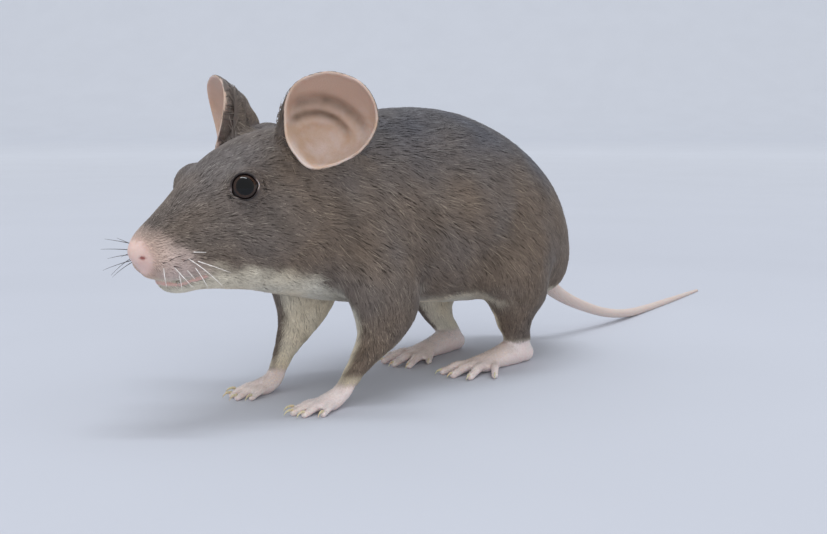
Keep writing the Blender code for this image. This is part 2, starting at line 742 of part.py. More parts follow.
def finish(node):
    """Keeps the node's one body, shades it smooth and gives it its material."""
    largest_body(node)
    mesh = node.data
    mesh.name = node.name
    mesh.shade_smooth()
    mesh.set_sharp_from_angle(angle=math.radians(40))
    colour = FUR
    roughness = 0.8
    if node.name.startswith("eye"):
        colour, roughness = EYE, 0.1
    elif node.name.startswith(("ear", "tail", "forepaw", "hindfoot")):
        colour, roughness = BARE_SKIN, 0.5
    mesh.materials.clear()
    mesh.materials.append(material(node.name + "_surface", colour, roughness))


def centre_over_origin(nodes):
    """Sets the middle of the whole's bounding box over the origin, with the feet at z = 0."""
    points = [v.co for node in nodes for v in node.data.vertices]
    low = Vector([min(p[i] for p in points) for i in range(3)])
    high = Vector([max(p[i] for p in points) for i in range(3)])
    shift = Matrix.Translation((-(low.x + high.x) / 2, -(low.y + high.y) / 2, -low.z))
    for node in nodes:
        node.data.transform(shift)


main()
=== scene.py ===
# %% [markdown]
# # A life-size grey house mouse
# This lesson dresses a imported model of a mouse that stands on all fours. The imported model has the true
# sizes, as plain solids that meet face to face. Here one fine skin takes the place of its flesh, and then
# come the coat, the eyes, the claws and the whiskers. Lengths are in millimetres wherever a name or a table
# doesn't say otherwise, because that is how such an animal is measured, and MM turns them into metres.

import math
from collections import namedtuple

import bmesh
import bpy
import numpy as np
from mathutils import Matrix, Vector
from mathutils.bvhtree import BVHTree


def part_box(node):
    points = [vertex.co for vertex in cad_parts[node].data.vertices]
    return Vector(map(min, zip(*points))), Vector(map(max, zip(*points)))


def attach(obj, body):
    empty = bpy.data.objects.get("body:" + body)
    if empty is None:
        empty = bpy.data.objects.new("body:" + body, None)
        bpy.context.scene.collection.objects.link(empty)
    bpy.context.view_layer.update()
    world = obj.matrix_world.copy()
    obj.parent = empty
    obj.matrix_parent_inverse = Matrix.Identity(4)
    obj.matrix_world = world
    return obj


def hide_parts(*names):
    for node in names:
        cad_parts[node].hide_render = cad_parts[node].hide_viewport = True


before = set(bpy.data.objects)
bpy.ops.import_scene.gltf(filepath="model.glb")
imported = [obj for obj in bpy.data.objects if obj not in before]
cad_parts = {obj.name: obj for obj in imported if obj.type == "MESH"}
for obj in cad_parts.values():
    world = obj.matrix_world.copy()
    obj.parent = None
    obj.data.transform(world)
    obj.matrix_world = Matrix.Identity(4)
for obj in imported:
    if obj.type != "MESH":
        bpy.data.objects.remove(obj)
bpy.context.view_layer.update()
MM = 0.001

# %% [markdown]
# ## One place for everything
# The sizes below are noted on the animal itself: its middle plane is y = 0, the floor is z = 0, and x runs
# towards the nose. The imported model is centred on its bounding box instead. The eyeball is a clean ball in
# both, so the step from its middle here to its middle there moves every piece to its place.

# %% Find the step from the animal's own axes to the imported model's
EYE_CENTRE = (28.8, 5.15, 28.9)
eye_low, eye_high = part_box("eye_left")
SHIFT = (eye_low + eye_high) / 2 - Vector(EYE_CENTRE) * MM
print("shift, mm:", [round(c / MM, 3) for c in SHIFT])


def place(points):
    """Points in millimetres on the animal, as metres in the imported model's frame."""
    return np.asarray(points, float) * MM + np.array(SHIFT)


# %% [markdown]
# ## Camera
# The picture was taken from the front left of the mouse, from the height of its back, with a normal lens. A
# camera can be set by hand until the feet and the tail fall on their places, but here it was worked out from
# them, since all of them stand on one floor. It looks slightly down and has no roll.

# %% Set the camera
CAMERA_AT = (113.81, 112.56, 38.33)
CAMERA_HEADING = (-0.72897, -0.68455)
CAMERA_DOWN = 7.9  # degrees below the horizon
CAMERA_LENS = 50.0


def set_camera():
    down = math.radians(CAMERA_DOWN)
    way = Vector((*(c * math.cos(down) for c in CAMERA_HEADING), -math.sin(down)))
    camera = bpy.data.objects.new("camera", bpy.data.cameras.new("camera"))
    bpy.context.scene.collection.objects.link(camera)
    camera.data.lens = CAMERA_LENS
    camera.data.sensor_width = 36.0
    camera.data.clip_start = 0.005
    camera.data.clip_end = 20.0
    camera.location = Vector(CAMERA_AT) * MM + SHIFT
    camera.rotation_mode = "QUATERNION"
    camera.rotation_quaternion = way.to_track_quat("-Z", "Y")
    bpy.context.scene.camera = camera


set_camera()
print("camera, in metres:", [round(c, 3) for c in bpy.context.scene.camera.location])

# %% [markdown]
# ## Sizes of the body
# A mouse's body is a smooth sack over its bones, so it is described by slices: each slice of the head and
# trunk has a place along x, a top, a bottom and a half width. Legs are described by level slices, and the
# feet and tail by stations along a tube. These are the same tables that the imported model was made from, so
# the skin and the solids agree.

# %% Slices and stations
Slice = namedtuple("Slice", "x top bottom half_width")
TRUNK = (
    Slice(41.5, 22.6, 21.3, 0.6),
    Slice(41.0, 23.3, 20.7, 1.3),
    Slice(39.9, 24.5, 19.8, 2.0),
    Slice(38.0, 25.8, 18.8, 2.8),
    Slice(35.4, 27.8, 17.4, 3.8),
    Slice(32.3, 30.5, 16.8, 4.9),
    Slice(29.0, 32.9, 16.4, 5.8),
    Slice(25.0, 34.7, 15.9, 6.8),
    Slice(21.0, 35.7, 15.0, 7.6),
    Slice(16.5, 36.2, 14.0, 8.2),
    Slice(12.0, 36.6, 13.0, 8.6),
    Slice(7.0, 37.2, 12.2, 9.4),
    Slice(1.0, 38.0, 11.4, 10.6),
    Slice(-6.0, 38.3, 10.6, 11.8),
    Slice(-13.0, 37.5, 9.9, 12.3),
    Slice(-20.0, 35.2, 9.5, 12.2),
    Slice(-26.0, 31.9, 9.4, 11.3),
    Slice(-31.0, 27.8, 8.8, 9.2),
    Slice(-34.3, 23.2, 8.5, 7.1),
    Slice(-36.0, 20.0, 9.0, 5.2),
    Slice(-36.9, 16.8, 10.4, 3.0),
)
WIDEST_AT = 0.44  # share of a slice's height at which it is widest
SQUARENESS = 2.15  # exponent of a slice's superellipse, where 2 is an ellipse
print("slices of the trunk:", len(TRUNK))

# %% [markdown]
# ## Sizes of the legs
# A leg is cut by level planes instead, from inside the trunk down to the ankle. The upper slices are wide,
# because the shoulder and the thigh lie flat against the flank, and they melt into it later. A bone rig with
# muscles would suit an animal that moves, and this one stands still.

# %% Slices of the legs
LegSlice = namedtuple("LegSlice", "z x y along across")
FORELEG = (
    LegSlice(24.0, 8.0, 5.0, 4.6, 3.2),
    LegSlice(20.0, 8.2, 6.4, 6.0, 3.6),
    LegSlice(16.0, 8.0, 7.4, 6.2, 3.7),
    LegSlice(13.3, 7.7, 7.9, 5.6, 3.6),
    LegSlice(11.5, 7.7, 8.0, 4.9, 3.4),
    LegSlice(9.9, 7.9, 8.0, 4.1, 3.1),
    LegSlice(8.2, 8.9, 7.85, 3.3, 2.7),
    LegSlice(7.0, 10.0, 7.7, 2.6, 2.25),
    LegSlice(5.7, 11.4, 7.4, 1.85, 1.8),
    LegSlice(4.4, 12.65, 7.1, 1.4, 1.45),
    LegSlice(3.0, 13.7, 6.9, 1.15, 1.3),
    LegSlice(1.6, 14.6, 6.7, 1.15, 1.25),
)
HINDLEG = (
    LegSlice(25.0, -20.0, 5.5, 6.5, 4.6),
    LegSlice(20.0, -18.6, 7.4, 8.4, 5.2),
    LegSlice(16.0, -17.6, 8.6, 8.4, 4.8),
    LegSlice(13.0, -17.2, 8.9, 7.4, 4.3),
    LegSlice(11.0, -18.7, 8.8, 5.6, 3.9),
    LegSlice(9.3, -19.6, 8.5, 5.0, 3.2),
    LegSlice(7.6, -19.2, 8.2, 3.5, 2.5),
    LegSlice(5.7, -19.8, 7.9, 2.6, 2.0),
    LegSlice(4.3, -20.8, 7.5, 2.3, 1.65),
    LegSlice(3.0, -21.6, 7.2, 2.2, 1.55),
    LegSlice(1.6, -22.3, 7.0, 2.1, 1.5),
)
print("slices of a foreleg and a hind leg:", len(FORELEG), len(HINDLEG))

# %% [markdown]
# ## Sizes of the feet, the tail and the toes
# Feet, tail and toes are tubes, so a few stations along each are enough: where its middle is, how deep it is
# and how wide. The hind foot is long and narrow and stands on its whole sole. The tail sinks to the floor
# and lies on it. A front foot has four toes that show, and a hind foot five.

# %% Stations of the feet, the tail and the toes
Station = namedtuple("Station", "x y z deep wide")
FOREPAW = (
    Station(14.3, 6.7, 2.1, 1.1, 1.3),
    Station(15.5, 6.5, 1.3, 1.15, 1.45),
    Station(16.8, 6.45, 0.9, 1.15, 1.7),
    Station(18.0, 6.45, 0.72, 0.95, 1.65),
)
HINDFOOT = (
    Station(-23.3, 7.0, 1.35, 1.5, 1.5),
    Station(-21.3, 7.0, 1.9, 2.1, 1.7),
    Station(-16.5, 6.9, 1.4, 1.5, 1.7),
    Station(-13.0, 6.8, 1.0, 1.1, 2.4),
)
TAIL = (
    Station(-32.0, 0.0, 13.2, 2.1, 2.1),
    Station(-37.0, 0.0, 10.2, 1.5, 1.5),
    Station(-42.0, 0.0, 7.2, 1.15, 1.15),
    Station(-48.0, 0.0, 4.7, 0.95, 0.95),
    Station(-56.0, -0.2, 2.3, 0.85, 0.85),
    Station(-65.0, -1.2, 0.95, 0.8, 0.8),
    Station(-75.0, -2.9, 0.5, 0.7, 0.7),
    Station(-86.0, -4.7, 0.4, 0.6, 0.6),
    Station(-101.3, -7.5, 0.2, 0.38, 0.38),
)
Digit = namedtuple("Digit", "root_x root_y tip_x tip_y radius")
FORE_DIGITS = (
    Digit(16.4, 5.4, 20.7, 4.2, 0.58),
    Digit(17.0, 6.1, 22.0, 5.6, 0.62),
    Digit(17.0, 6.9, 21.6, 7.3, 0.62),
    Digit(16.2, 7.5, 19.8, 8.8, 0.58),
)
HIND_DIGITS = (
    Digit(-15.0, 5.8, -11.7, 3.85, 0.68),
    Digit(-12.4, 5.6, -7.6, 4.4, 0.76),
    Digit(-12.0, 6.8, -7.1, 6.8, 0.78),
    Digit(-12.4, 8.0, -7.8, 9.4, 0.76),
    Digit(-14.6, 8.4, -10.95, 11.3, 0.68),
)
DIGIT_RISE = 0.55  # how much higher a toe's root is than its tip
TOE_SLIMNESS = 0.95  # the skin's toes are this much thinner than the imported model's
print("digits:", 2 * len(FORE_DIGITS) + 2 * len(HIND_DIGITS))

# %% [markdown]
# ## The right hind foot
# The mouse is alike on both sides, but its right hind foot stands a little ahead and turned in. Its tables
# are the left ones, turned about the heel and moved, and the leg above leans over to it from the knee down.
# That keeps one table for both feet, where a second one could drift away from the first.

# %% Turn the right hind foot
HEEL = (-21.3, 7.0)
RIGHT_HEEL_STEP = (0.7, -1.0)
RIGHT_FOOT_TURN = 6.0  # degrees
KNEE_LEVEL = 12.0
ANKLE_LEVEL = 3.0


def hind_place(x, y, side):
    """Where a point of the left hind foot's tables lies on this side's foot."""
    if side > 0:
        return x, y
    turn = math.radians(RIGHT_FOOT_TURN)
    ahead, beside = x - HEEL[0], y - HEEL[1]
    turned_x = HEEL[0] + ahead * math.cos(turn) + beside * math.sin(turn)
    turned_y = HEEL[1] - ahead * math.sin(turn) + beside * math.cos(turn)
    return turned_x + RIGHT_HEEL_STEP[0], turned_y + RIGHT_HEEL_STEP[1]


def hind_stations(side):
    return [Station(*hind_place(s.x, s.y, side), *s[2:]) for s in HINDFOOT]


def hind_digits(side):
    return [
        Digit(*hind_place(d.root_x, d.root_y, side), *hind_place(d.tip_x, d.tip_y, side), d.radius)
        for d in HIND_DIGITS
    ]


def hind_slices(side):
    """The slices of a hind leg, which lean over to their own foot below the knee."""
    if side > 0:
        return HINDLEG
    made = []
    for row in HINDLEG:
        share = min(1.0, max(0.0, (KNEE_LEVEL - row.z) / (KNEE_LEVEL - ANKLE_LEVEL)))
        x = row.x + RIGHT_HEEL_STEP[0] * share
        made.append(LegSlice(row.z, x, row.y + RIGHT_HEEL_STEP[1] * share, row.along, row.across))
    return made


print("right heel at", [round(c, 2) for c in hind_place(*HEEL, -1)])

# %% [markdown]
# ## From tables to closed shapes
# Each table becomes a closed tube: its rows are joined by a smooth curve, a ring of points is laid at each
# step, and neighbouring rings are bridged. A lofted curve object could do the same, but rings in code keep
# every slice exactly as wide as its table says.

# %% Helpers that bridge rings and smooth tables


def mesh_object(name, points, faces):
    """An object with this mesh, on the animal's own axes and in millimetres."""
    mesh = bpy.data.meshes.new(name)
    mesh.from_pydata([tuple(p) for p in points], [], faces)
    mesh.update()
    made = bpy.data.objects.new(name, mesh)
    bpy.context.scene.collection.objects.link(made)
    return made


def bridged_rings(name, rings):
    count = len(rings[0])
    points = [p for ring in rings for p in ring]
    faces = []
    for i in range(len(rings) - 1):
        for j in range(count):
            k = (j + 1) % count
            faces.append((i * count + j, i * count + k, (i + 1) * count + k, (i + 1) * count + j))
    faces.append(tuple(reversed(range(count))))
    faces.append(tuple(range((len(rings) - 1) * count, len(rings) * count)))
    return mesh_object(name, points, faces)


def smooth_rows(rows, steps):
    """Rows between the given ones, on a curve that passes through each of them."""
    rows = np.array(rows, float)
    padded = np.vstack([2 * rows[0] - rows[1], rows, 2 * rows[-1] - rows[-2]])
    made = []
    for before, a, b, after in zip(padded, padded[1:], padded[2:], padded[3:]):
        for t in np.linspace(0, 1, steps, endpoint=False):
            bend = (2 * before - 5 * a + 4 * b - after) * t**2 + (3 * a - before - 3 * b + after) * t**3
            made.append(0.5 * (2 * a + (b - before) * t + bend))
    return np.array(made + [rows[-1]])


print("rows of the trunk, smoothed:", len(smooth_rows(TRUNK, 6)))

# %% [markdown]
# ## Trunk and legs from slices
# The trunk's slices are superellipses: a little squarer than an ellipse, and widest below their middle, as
# a body is that rests its weight on its belly. Those of the legs are plain ellipses.

# %% Helpers for the trunk and the legs


def rounded(wave):
    """A wave from -1 to 1 with fuller shoulders, which makes an ellipse squarer."""
    return np.sign(wave) * np.abs(wave) ** (2 / SQUARENESS)


def trunk_object(sides=64, steps=6):
    turn = np.linspace(0, 2 * np.pi, sides, endpoint=False)
    rings = []
    for x, top, bottom, half_width in smooth_rows(TRUNK, steps):
        middle = bottom + (top - bottom) * WIDEST_AT
        up = rounded(np.sin(turn))
        z = middle + np.where(up > 0, (top - middle) * up, (middle - bottom) * up)
        rings.append(np.column_stack([np.full(sides, x), -half_width * rounded(np.cos(turn)), z]))
    return bridged_rings("trunk", rings)


def leg_object(name, slices, sides=28, steps=4, side=1):
    turn = np.linspace(0, 2 * np.pi, sides, endpoint=False)
    rings = []
    for z, x, y, along, across in smooth_rows(slices, steps)[::-1]:
        ring = (x + along * np.cos(turn), y * side + across * np.sin(turn), np.full(sides, z))
        rings.append(np.column_stack(ring))
    return bridged_rings(name, rings)


print("fullest at 45 degrees:", round(float(rounded(np.sin(np.pi / 4))), 3))

# %% [markdown]
# ## Tubes, ovals and toes
# A tube carries its rings square to its own way, and ends in a round cap. A toe is a short tube that arches
# up from the foot, thickens at its knuckle and comes down on its pad. Curves with a bevel would give
# tubes too, but not ones that are wider than they are deep.

# %% Helpers for tubes, ovals and toes
TOE_FLAT = 0.2  # how far a toe's tip would reach below the floor, so that its pad is flat
CAP_ANGLES = (0.45, 0.9, 1.3)  # radians from the tube's end to its pole at which a cap has a ring


def tube_object(name, stations, sides=20, steps=6, side=1):
    rows = smooth_rows(stations, steps)
    centres = rows[:, :3]
    centres[:, 1] *= side
    tangents = np.gradient(centres, axis=0)
    tangents /= np.linalg.norm(tangents, axis=1)[:, None]
    turn = np.linspace(0, 2 * np.pi, sides, endpoint=False)
    rings = []

    def add_ring(centre, tangent, deep, wide):
        sideways = np.cross([0.0, 0.0, 1.0], tangent)
        sideways /= np.linalg.norm(sideways)
        upward = np.cross(tangent, sideways)
        round_it = np.outer(np.cos(turn) * wide, sideways) + np.outer(np.sin(turn) * deep, upward)
        rings.append(centre + round_it)

    def add_cap(row, tangent, way, angles):
        for angle in angles:
            middle = row[:3] + tangent * way * math.sin(angle) * min(row[3], row[4])
            add_ring(middle, tangent, row[3] * math.cos(angle), row[4] * math.cos(angle))

    add_cap(rows[0], tangents[0], -1, CAP_ANGLES[::-1])
    for row, tangent in zip(rows, tangents):
        add_ring(row[:3], tangent, row[3], row[4])
    add_cap(rows[-1], tangents[-1], 1, CAP_ANGLES)
    return bridged_rings(name, rings)


def ellipsoid_object(name, centre, radii, sides=24):
    levels = np.linspace(-math.pi / 2 + 0.15, math.pi / 2 - 0.15, sides // 2 + 1)
    turn = np.linspace(0, 2 * np.pi, sides, endpoint=False)
    rings = []
    for level in levels:
        x = centre[0] + radii[0] * math.cos(level) * np.cos(turn)
        y = centre[1] + radii[1] * math.cos(level) * np.sin(turn)
        rings.append(np.column_stack([x, y, np.full(sides, centre[2] + radii[2] * math.sin(level))]))
    return bridged_rings(name, rings)


def mirrored(point, side):
    """The point on the left (side 1) or the right (side -1) of the mouse."""
    return (point[0], point[1] * side, point[2])


def digit_object(digit, side):
    """One toe: it arches from its root, thickens at its knuckle and comes down on its pad."""
    r = digit.radius * TOE_SLIMNESS
    low = r - TOE_FLAT

    def at(share, up, size):
        x = digit.root_x + (digit.tip_x - digit.root_x) * share
        y = digit.root_y + (digit.tip_y - digit.root_y) * share
        return Station(x, y, low + up, r * size, r * size * 0.97)

    stations = (
        at(0.0, DIGIT_RISE, 1.1),
        at(0.28, DIGIT_RISE * 1.05, 0.93),
        at(0.52, DIGIT_RISE, 1.0),
        at(0.76, DIGIT_RISE * 0.45, 0.86),
        at(1.0, 0.0, 0.88),
    )
    return tube_object("digit", stations, sides=14, steps=3, side=side)


print("second toe of a forefoot:", FORE_DIGITS[1])

# %% [markdown]
# ## Melting shapes together
# Muscles, legs and lips are separate shapes that pass through each other. A voxel remesh melts them into one
# closed skin, as clay would be, and a smoothing pass rounds the creases. Metaballs could do it too, but they
# lose the slices' exact widths. It is done three times: coarsely for the muscles, so that they flow into
# each other, finely once the toes and lips are in, and once more when the mouth and nostrils are cut.

# %% Helpers that join, melt and cut


def joined(name, objects):
    with bpy.context.temp_override(
        active_object=objects[0], selected_editable_objects=objects, selected_objects=objects
    ):
        bpy.ops.object.join()
    objects[0].name = name
    objects[0].data.name = name
    return objects[0]


def settled(made):
    """Applies the object's modifiers."""
    graph = bpy.context.evaluated_depsgraph_get()
    mesh = bpy.data.meshes.new_from_object(made.evaluated_get(graph))
    made.modifiers.clear()
    old, made.data = made.data, mesh
    bpy.data.meshes.remove(old)
    return made


def melted(name, objects, voxel, smoothing):
    made = joined(name, objects)
    remesh = made.modifiers.new("Melt", "REMESH")
    remesh.mode = "VOXEL"
    remesh.voxel_size = voxel
    smooth = made.modifiers.new("Smooth", "SMOOTH")
    smooth.factor = 0.5
    smooth.iterations = smoothing
    return settled(made)


def refined(made):
    """One step of subdivision, which rounds the facets of a coarse mesh."""
    made.modifiers.new("Refine", "SUBSURF").levels = 1
    return settled(made)


def combined(made, cutter, operation="DIFFERENCE", solver="EXACT"):
    step = made.modifiers.new("Combine", "BOOLEAN")
    step.operation = operation
    step.object = cutter
    step.solver = solver
    settled(made)
    bpy.data.objects.remove(cutter)
    return made


print("helpers:", [helper.__name__ for helper in (joined, settled, melted, refined, combined)])

# %% [markdown]
# ## The ears
# A mouse's ear is a thin, nearly round cup on a short root. It stands out and forward, its front edge is
# rolled, and two low ridges bend across the inside over the ear's deepest part. The cup is written as a
# function from a disc to a point in space: radius 0 is its deepest point, and 1 its rim. The outer face is
# the inner one moved back by the thickness of the cartilage. A solidified bowl would be quicker to make, but
# it has no ridges, and it creases where the edge is rolled. First come its sizes, its outline and its folds.

# %% Sizes, outline and folds of an ear
EAR_CENTRE = (19.66, 10.66, 36.8)
EAR_HALF_WIDTH = 5.5
EAR_HALF_HEIGHT = 5.58
EAR_YAW = 32.0  # degrees that the cup faces out from straight ahead
EAR_WARP = (0.42, 0.92, 1.15)  # how far its rim bends forward across, up and along its diagonal
EAR_DEPTH = 4.1  # of its middle: it is deeper towards the root
EAR_WALL = 0.56
EAR_RIM = 0.34  # the wall's thickness at its rim
# How far the rim reaches at sixteen turns, from its front edge under its root to its rear and over its tip
EAR_OUTLINE = (
    *(0.99, 1.0, 1.01, 1.05, 0.93, 0.865, 0.875, 0.92),
    *(1.0, 1.035, 1.035, 0.985, 0.98, 1.0, 1.07, 1.055),
)
Fold = namedtuple("Fold", "rear up reach width depth ends_at")  # it bends round a point of the disc
FOLDS = (Fold(-0.47, -0.72, 1.165, 0.125, 0.38, 30.0), Fold(-0.51, -0.55, 0.71, 0.095, 0.32, 19.0))


def ear_axes(side):
    """Three axes of an ear: the way it opens, from its front edge to its rear, and from root to tip."""
    yaw = math.radians(EAR_YAW)
    outward = Vector((math.cos(yaw), math.sin(yaw), 0))
    across = Vector((-math.sin(yaw), math.cos(yaw), 0))
    return [Vector(mirrored(axis, side)) for axis in (outward, across, outward.cross(across))]


def ear_reach(turn):
    """How far the rim reaches at this turn, on a smooth curve through the outline."""
    outline = np.array(EAR_OUTLINE)
    step = (np.asarray(turn) / (2 * np.pi) + 0.5) * len(outline)
    i = np.floor(step).astype(int)
    t = step - i
    before, a, b, after = (outline[(i + k) % len(outline)] for k in (-1, 0, 1, 2))
    bend = (2 * before - 5 * a + 4 * b - after) * t**2 + (3 * a - before - 3 * b + after) * t**3
    return 0.5 * (2 * a + (b - before) * t + bend)


def furrow(rear, up):
    """How deep the furrows are at a point of the disc, and how much painted shade lies in them: (millimetres,
    0 to 1).
    """
    to_rim = np.hypot(rear, up) / ear_reach(np.arctan2(up, rear))
    deep, dark = 0.0, 0.0
    for fold in FOLDS:
        beside, above = rear - fold.rear, up - fold.up
        away = np.hypot(beside, above)
        part = np.clip((np.degrees(np.arctan2(above, beside)) - fold.ends_at) / 20 + 0.5, 0, 1)
        part = part * np.clip((1.0 - to_rim) / np.where(rear < -0.3, 0.12, 0.2), 0, 1)
        dent = np.exp(-(((away - fold.reach) / fold.width) ** 2)) * part
        swell = np.exp(-(((away - fold.reach + 2.0 * fold.width) / fold.width) ** 2)) * part
        deep = deep + fold.depth * (dent - 0.7 * swell)
        dark = dark + dent
    return deep, np.clip(dark, 0, 1)


print("furrow above the middle:", [round(float(v), 2) for v in furrow(0.0, 0.33)])

# %% [markdown]
# ## The ear as a thin shell
# Rings of points run from the middle of the inner face out to the rim, round it, and back over the outer
# face to the middle of its back. The rings lie closer at the rim, which is thin and shows sharply against
# what is behind it. The order of the faces is kept, since it tells later which of them are bare inside.

# %% The shell of an ear
RIM_ANGLES = (0.25 * math.pi, 0.5 * math.pi, 0.75 * math.pi)
EAR_SECTORS = 96
EAR_RINGS = 27  # of the inner face
EAR_RIM_STEPS = 5  # from the last of them over the rim to the edge of the fur on the ear's back


def ear_cup(radius, turn):
    """A point of the left ear's inner face. radius runs from its deepest point, 0, to its rim, 1."""
    outward, across, upward = ear_axes(1)
    rear = radius * float(ear_reach(turn)) * math.cos(turn)
    up = radius * float(ear_reach(turn)) * math.sin(turn)
    depth = EAR_DEPTH * (1 - radius**2) ** 0.6 * (1 - 0.65 * up)
    warp = EAR_WARP[0] * rear**2 + EAR_WARP[1] * up**2 + EAR_WARP[2] * rear * up
    at = Vector(EAR_CENTRE) + upward * (EAR_HALF_HEIGHT * up) + across * (EAR_HALF_WIDTH * rear)
    return at + outward * (warp - depth)


def ear_rings(radii, sectors, folded):
    """Rings of points from the middle of the left ear's inner face, over its rim, to that of its back."""
    inner, outer, rim = [], [], [[] for _ in range(3)]
    for radius in radii:
        inner.append([])
        outer.append([])
        wall = EAR_WALL + (EAR_RIM - EAR_WALL) * max(0.0, (radius - 0.7) / 0.3)
        for j in range(sectors):
            turn = 2 * math.pi * j / sectors
            at = ear_cup(radius, turn)
            away = (at - ear_cup(radius - 0.02, turn)).normalized()
            along = ear_cup(radius, turn + 0.05) - ear_cup(radius, turn - 0.05)
            behind = away.cross(along).normalized()
            reach = radius * float(ear_reach(turn))
            deep = float(furrow(reach * math.cos(turn), reach * math.sin(turn))[0]) if folded else 0.0
            inner[-1].append(at - behind * deep)
            outer[-1].append(at - behind * (wall + max(0.0, deep) * 0.6))
            if radius == radii[-1]:
                for ring, angle in zip(rim, RIM_ANGLES):
                    bulge = away * math.sin(angle) - behind * (1 - math.cos(angle))
                    ring.append(at + bulge * wall / 2)
    return inner + rim + outer[::-1]


def ear_mesh(side):
    """Points and faces, sector by sector: two faces at the middles, then one for each step between rings."""
    sectors = EAR_SECTORS
    radii = np.append(np.linspace(0.06, 0.9, EAR_RINGS - 3), [0.94, 0.97, 1.0])
    rings = ear_rings(radii, sectors, True)
    deepest = ear_cup(0, 0)
    points = [deepest] + [p for ring in rings for p in ring] + [deepest - ear_axes(1)[0] * EAR_WALL]
    last = len(points) - 1
    faces = []
    for j in range(sectors):
        k = (j + 1) % sectors
        faces += [(0, 1 + j, 1 + k), (last, last - sectors + k, last - sectors + j)]
        for start in range(1, last - sectors, sectors):
            faces.append((start + j, start + sectors + j, start + sectors + k, start + k))
    if side < 0:
        faces = [face[::-1] for face in faces]
    return [mirrored(p, side) for p in points], faces


def ear_object(side):
    return mesh_object("ear", *ear_mesh(side))


print("points of an ear:", len(ear_mesh(1)[0]))

# %% [markdown]
# ## What surrounds an ear
# Fur climbs from the head along the front edge of the ear, on a soft lobe that hides where the cup begins.
# The hollow of the cup has to stay free of the head's flesh, so it is also made as a solid that is cut
# away: the convex hull of the cup and of the room in front of it.

# %% The lobe and the hollow of an ear
FrontStation = namedtuple("FrontStation", "turn beside behind thick")  # turn counts in half circles
EAR_FRONT = (
    FrontStation(0.76, 0.35, 0.8, 0.5),
    FrontStation(0.88, 0.7, 1.15, 0.75),
    FrontStation(1.0, 0.95, 1.4, 1.0),
    FrontStation(1.12, 1.15, 1.8, 1.5),
    FrontStation(1.28, 1.1, 2.2, 2.0),
)
HOLLOW_RADII = (0.05, 0.3, 0.52, 0.7, 0.84, 0.94, 1.0)


def ear_front_object(side):
    """The furry front of an ear's root, which climbs from the head along the front edge."""
    outward, across, _ = ear_axes(1)
    stations = []
    for turn, beside, behind, thick in EAR_FRONT:
        at = ear_cup(0.98, turn * math.pi) - across * beside - outward * behind
        stations.append(Station(*at, thick, thick))
    return tube_object("ear_front", stations, sides=16, steps=4, side=side)


def ear_hollow(side):
    """The hollow of the cup and the room in front of it, which the head leaves free."""
    outward = ear_axes(1)[0]
    shape = bmesh.new()
    for radius, ring in zip(HOLLOW_RADII, ear_rings(HOLLOW_RADII, 26, False)):
        into_wall = 0.4 if radius < 0.9 else 0.15
        for p in ring:
            for q in (p, p + outward * EAR_DEPTH):
                shape.verts.new(mirrored(q - outward * into_wall, side))
    hull = bmesh.ops.convex_hull(shape, input=shape.verts)
    unused = [g for g in hull["geom_interior"] if isinstance(g, bmesh.types.BMVert)]
    bmesh.ops.delete(shape, geom=unused, context="VERTS")
    bmesh.ops.recalc_face_normals(shape, faces=shape.faces)
    mesh = bpy.data.meshes.new("hollow")
    shape.to_mesh(mesh)
    shape.free()
    made = bpy.data.objects.new("hollow", mesh)
    bpy.context.scene.collection.objects.link(made)
    return made


print("stations of the lobe:", len(EAR_FRONT))

# %% [markdown]
# ## Eyes, lips and nostrils
# A mouse's eye is a shiny bead that stands out from the head, held by two thin dark lids. The mouth is a
# narrow slot bent like a horseshoe, under a split upper lip, and the nostrils are small commas. These are
# their sizes. Each oval is written as its middle and its three radii.

# %% Sizes of the head's features
EYE_RADIUS = 2.05
EYE_LOOKS = (0.5, 0.84, 0.2)
LID_OPENING = 1.43
LID_THICKNESS = 0.2
LID_SWELL = 0.2  # how much farther from the eyeball the lids are where they meet the head
LID_END = 1.3  # radians from the way the eye looks at which the lids end, inside the head
LID_CORNERS = (212.0, 9.0)  # degrees about the way the eye looks, from the rear over the top
CORNER_REACH = 0.16  # how much farther the opening reaches there
BROW = ((28.3, 5.0, 28.8), (3.3, 2.1, 2.9))
EAR_ROOT = ((16.4, 5.4, 32.2), (5.0, 3.9, 4.3))
WHISKER_PAD = ((36.2, 2.2, 20.5), (3.4, 2.3, 2.2))
UPPER_LIP = ((37.7, 0.0, 19.8), (2.0, 2.0, 1.3))
LOWER_LIP = ((34.6, 0.0, 17.8), (2.9, 2.5, 1.4))
NOSTRIL = ((40.35, 1.3, 21.35), 0.3)
NOSTRIL_STRETCH = (1.8, 1.0, 0.75)
NOSE_TIP = (41.0, 0.0, 21.0)
print("width of an eye's opening:", 2 * LID_OPENING)

# %% [markdown]
# ## Lids and sockets
# The lids are one ring round the eyeball, with a round margin and an outside that slopes down into the head.
# The socket is the room that the eyeball takes. Both are turned about the way the eye looks, as on a lathe,
# and reach a little farther in the two corners, so that the opening is an almond and not a circle.

# %% Lids and sockets
CORNER_WIDTH = 0.3  # radians over which a corner fades


def eye_axis(side):
    return Vector(mirrored(EYE_LOOKS, side)).normalized()


def eye_frame(side):
    """The middle of an eyeball, and the matrix that turns the z axis to the way that it looks."""
    return Vector(mirrored(EYE_CENTRE, side)), eye_axis(side).to_track_quat("Z", "Y").to_matrix()


def corner_share(turn, side):
    """1 in the corners between the lids, and 0 away from them."""
    share = 0.0
    for corner in LID_CORNERS:
        at = math.radians(corner if side > 0 else 180 - corner)
        away = (turn - at + math.pi) % (2 * math.pi) - math.pi
        share += math.exp(-((away / CORNER_WIDTH) ** 2))
    return share


